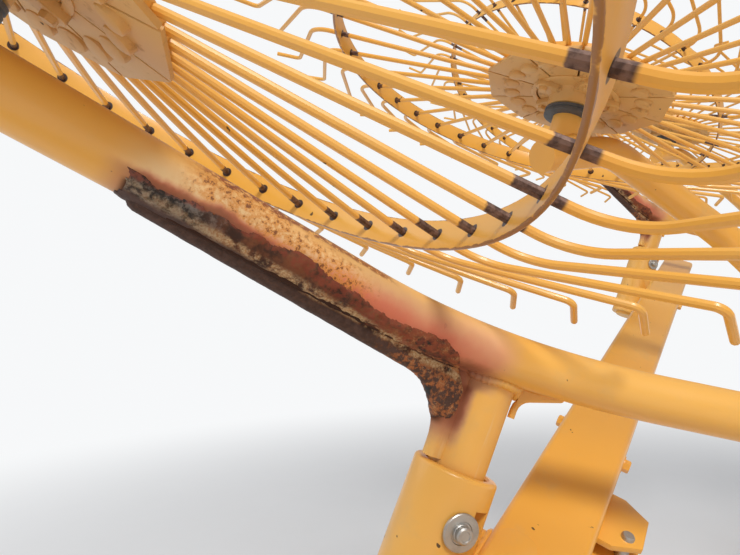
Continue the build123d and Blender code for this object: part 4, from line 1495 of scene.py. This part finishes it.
def makeCart(sizes):
    build = bmesh.new()
    x, z, half = sizes["beamX"], sizes["beamZ"], sizes["boxSide"] / 2
    outline = roundedBox(sizes["boxSide"], sizes["boxSide"], sizes["boxCorner"])
    for out in (-1, 1):
        cap = framed((x, out * (sizes["halfLength"] - 0.004), z), (1, 0, 0), (0, out, 0))
        prism(build, roundedBox(0.112, 0.112, 0.008), 0.0, 0.0035, cap, 0.001)
        leg = framed((x, out * sizes["legY"], z - half), (1, 0, 0), (0, 0, 1))
        weldLoop(build, [(a, b, -0.001) for a, b in roundedBox(sizes["legDepth"], sizes["legWidth"], 0.004,
                                                               2)], 0.004, leg)
        for along in (-1, 1):
            rib = framed((x, out * (sizes["legY"] - along * sizes["legWidth"] / 2), z - half),
                         (0, -out * along, 0), (1, 0, 0))
            prism(build, [(0, 0.002), (0.075, 0.002), (0.068, -0.012), (0.014, -0.090), (0, -0.096)], -0.005,
                  0.005, rib, 0.001)
        hub = framed((x, out * (sizes["legY"] + sizes["legWidth"] / 2), sizes["legFoot"] + 0.060), (1, 0, 0),
                     (0, out, 0))
        lathe(build, [(0.022, 0), (0.038, 0), (0.038, 0.004), (0.030, 0.011), (0.022, 0.011)], 48, hub)
    spine = framed((x + half, 0, z), (0, 1, 0), (1, 0, 0))
    weldLoop(build, [(a, b, 0.001) for a, b in outline], 0.0045, spine)
    for out in (-1, 1):
        brace = framed((x + half, out * half, z), (1, 0, 0), (0, 0, 1))
        prism(build, [(0, 0), (0.220, 0), (0.200, out * 0.012), (0.012, out * 0.200), (0, out * 0.220)],
              -0.006, 0.006, brace, 0.0015)
        weldLoop(build, [(0.002, out * 0.001, 0.007), (0.215, out * 0.001, 0.007)], 0.003, brace)
    front = framed((sizes["spineFront"], 0, z), (0, 1, 0), (1, 0, 0))
    weldLoop(build, [(a, b, 0.0) for a, b in roundedBox(0.101, 0.121, 0.008)], 0.0045, front)
    for out in (-1, 1):
        for height in (-0.0505, 0.0505):
            line = [(-0.150, out * 0.048, height), (-0.128, out * 0.049, height)]
            weldLoop(build, line, 0.003)
    addPiece("cartWelds", "left", build, "paint", "frame")
    jack = bmesh.new()
    top = sizes["jackTop"]
    centre = Matrix.Translation((sizes["jackX"], sizes["jackY"], 0))
    lathe(jack, [(0.0325, top - 0.020), (0.0340, top - 0.018), (0.0340, top - 0.002), (0.030, top),
                 (0.012, top), (0.011, top + 0.002), (0.011, top + 0.022), (0, top + 0.022)], 48, centre)
    reach = sizes["crankReach"]
    crank = [centre @ Vector(p) for p in filletPath([(0, 0, top + 0.018), (0, 0, top + 0.040),
                                                     (0, reach, top + 0.044), (0, reach, top + 0.130)],
                                                     [0.012, 0.014])]
    tube(jack, crank, 0.0065, 16)
    grip = centre @ Matrix.Translation((0, reach, top + 0.056))
    lathe(jack, [(0.0068, 0), (0.012, 0.002), (0.0135, 0.012), (0.0115, 0.040), (0.0135, 0.066),
                 (0.011, 0.074), (0, 0.076)], 32, grip)
    for height in (0.300, 0.372):
        lathe(jack, [(0.0322, height - 0.010), (0.0345, height - 0.009), (0.0345, height + 0.009),
                     (0.0322, height + 0.010)], 48, centre)
    addPiece("jackCrank", "left", jack, "paint", "frame")
    pin = bmesh.new()
    low, high, radius = sizes["pinFoot"], sizes["pinTop"], sizes["pinRadius"]
    lathe(pin, [(0, low), (radius - 0.004, low), (radius, low + 0.010), (radius, 0.0505), (0.024, 0.0510),
                (0.025, 0.053), (0.025, 0.062), (0.020, 0.066), (0.012, 0.068), (0.012, high), (0, high)], 48)
    loop = [Vector((0.034 * math.sin(a), 0, high - 0.008 + 0.034 + 0.034 * -math.cos(a)))
            for a in (2 * math.pi * k / 56 for k in range(56))]
    tube(pin, loop, 0.0045, 14, closed=True)
    clip = [Vector((0.019 * math.cos(a), 0.019 * math.sin(a), low + 0.028))
            for a in (2 * math.pi * k / 40 for k in range(30))]
    tube(pin, clip, 0.0022, 10)
    addPiece("hitchPin", "left", pin, "zinc", "frame")


makeCart(cartSizes)


# Hinges: welds of the arm, ribs on the post, grease nipples
hingeSizes = {
    "armDepth": 0.050,
    "hubRadius": 0.075,
    "postRadius": 0.065,
    "postFrom": -0.400,
    "postTo": -0.055,
    "capAt": -0.420,
}


def makeHinge(side, sizes):
    fold = foldFrame()
    build = bmesh.new()
    deep = sizes["armDepth"]
    end = (boomPlace @ Vector(frameFacing["beamEnd"]) - fold.translation).length
    for height in (-deep, deep):
        out = 1 if height > 0 else -1
        plate = [(0.140, -0.040), (end - 0.120, -0.040), (end - 0.120, 0.040), (0.140, 0.040)]
        prism(build, plate, min(height, height + out * 0.006), max(height, height + out * 0.006), fold, 0.002)
        weldLoop(build, [(a, b, height + out * 0.001) for a, b in plate], 0.0032, fold)
        weldLoop(build, [tuple(p) for p in ringPoints(sizes["hubRadius"] - 0.018, height + out * 0.001)],
                 0.0035, fold)
    addPiece(f"armWelds_{side}", side, build, "paint", f"boom_{side}")
    cap = bmesh.new()
    at = sizes["capAt"]
    bolt = boltMesh(0.014, 0.010, 0.022)
    bolt.transform(fold @ framed((0, 0, at), (1, 0, 0), (0, 0, -1)))
    merge(cap, bolt)
    addPiece(f"shaftBolt_{side}", side, cap, "zinc", f"boom_{side}")
    post = bmesh.new()
    radius = sizes["postRadius"]
    for height in (sizes["postFrom"] + 0.006, sizes["postTo"] - 0.006):
        lathe(post, [(radius - 0.001, height - 0.005), (radius + 0.002, height - 0.004),
                     (radius + 0.002, height + 0.004), (radius - 0.001, height + 0.005)], 72, fold)
    for height in (-0.330, -0.120):
        nipple = fold @ framed((0, radius - 0.001, height), (1, 0, 0), (0, 1, 0))
        lathe(post, [(0.006, 0), (0.006, 0.005), (0.0035, 0.007), (0.0035, 0.011), (0.0025, 0.013),
                     (0, 0.013)], 12, nipple)
    addPiece(f"postDetails_{side}", side, post, "paint", "frame")


for side in sides:
    makeHinge(side, hingeSizes)
print("cart and hinges made")


# Studio: pale floor, soft light
studio = {
    "floorZ": -0.45,
    "floorColour": (0.88, 0.88, 0.87),
    "floorMiddle": (-2.8, 0),
    "fadeFrom": 3.6,
    "fadeTo": 8.5,
    "worldColour": (0.93, 0.95, 1.0),
    "backdrop": (0.93, 0.94, 0.95),
    "worldStrength": 0.46,
    "keyPlace": (-7.5, -3.0, 7.0),
    "keyAim": (-3.6, 0.9, 1.0),
    "keySize": 2.2,
    "keyPower": 430,
    "fillPlace": (-6.0, 6.0, 5.0),
    "fillSize": 6,
    "fillPower": 90,
}


def areaLight(name, place, aim, size, power):
    data = bpy.data.lights.new(name, "AREA")
    data.shape = "DISK"
    data.size = size
    data.energy = power
    lamp = bpy.data.objects.new(name, data)
    bpy.context.scene.collection.objects.link(lamp)
    lamp.matrix_world = Matrix.Translation(place) @ (Vector(aim) - Vector(place)).to_track_quat("-Z",
                                                                                                "Y").to_matrix().to_4x4()


def makeStudio(sizes):
    build = bmesh.new()
    reach = 40
    corners = [build.verts.new((x, y, sizes["floorZ"] - 0.0005)) for x,
               y in ((-reach, -reach), (reach, -reach), (reach, reach), (-reach, reach))]
    build.faces.new(corners)
    material, shade = newMaterial("floorPale")
    place = shade.objectPlace()
    tint = place.noise(3, 3).mix(sizes["floorColour"], tuple(c * 0.97 for c in sizes["floorColour"]))
    x, y = place.part(0) - sizes["floorMiddle"][0], place.part(1) - sizes["floorMiddle"][1]
    distance = (x * x + y * y).root()
    near = shade.node("ShaderNodeBsdfPrincipled", None, {"Base Color": tint, "Roughness": 0.8})
    far = shade.node("ShaderNodeEmission", None, {"Color": (*sizes["backdrop"], 1), "Strength": 1.0})
    faded = shade.node("ShaderNodeMixShader", None,
                       {0: distance.ramp(sizes["fadeFrom"], sizes["fadeTo"]), 1: near, 2: far})
    shade.node("ShaderNodeOutputMaterial", None, {0: faded})
    floor = fromBmesh("floor", build, outwards=False)
    floor.materials.append(material)
    meshObject("floor", floor)
    areaLight("keyLight", sizes["keyPlace"], sizes["keyAim"], sizes["keySize"], sizes["keyPower"])
    areaLight("fillLight", sizes["fillPlace"], sizes["keyAim"], sizes["fillSize"], sizes["fillPower"])
    world = bpy.data.worlds.new("studioWorld")
    bpy.context.scene.world = world
    world.use_nodes = True
    world.node_tree.nodes.clear()
    sky = Shade(world.node_tree)
    light = sky.node("ShaderNodeBackground", None,
                     {"Color": (*sizes["worldColour"], 1), "Strength": sizes["worldStrength"]})
    white = sky.node("ShaderNodeBackground", None, {"Color": (*sizes["backdrop"], 1), "Strength": 1.0})
    seen = sky.node("ShaderNodeLightPath", out=0)
    both = sky.node("ShaderNodeMixShader", None, {0: seen, 1: light, 2: white})
    sky.node("ShaderNodeOutputWorld", None, {0: both})


makeStudio(studio)
bpy.context.scene.view_settings.view_transform = "Standard"
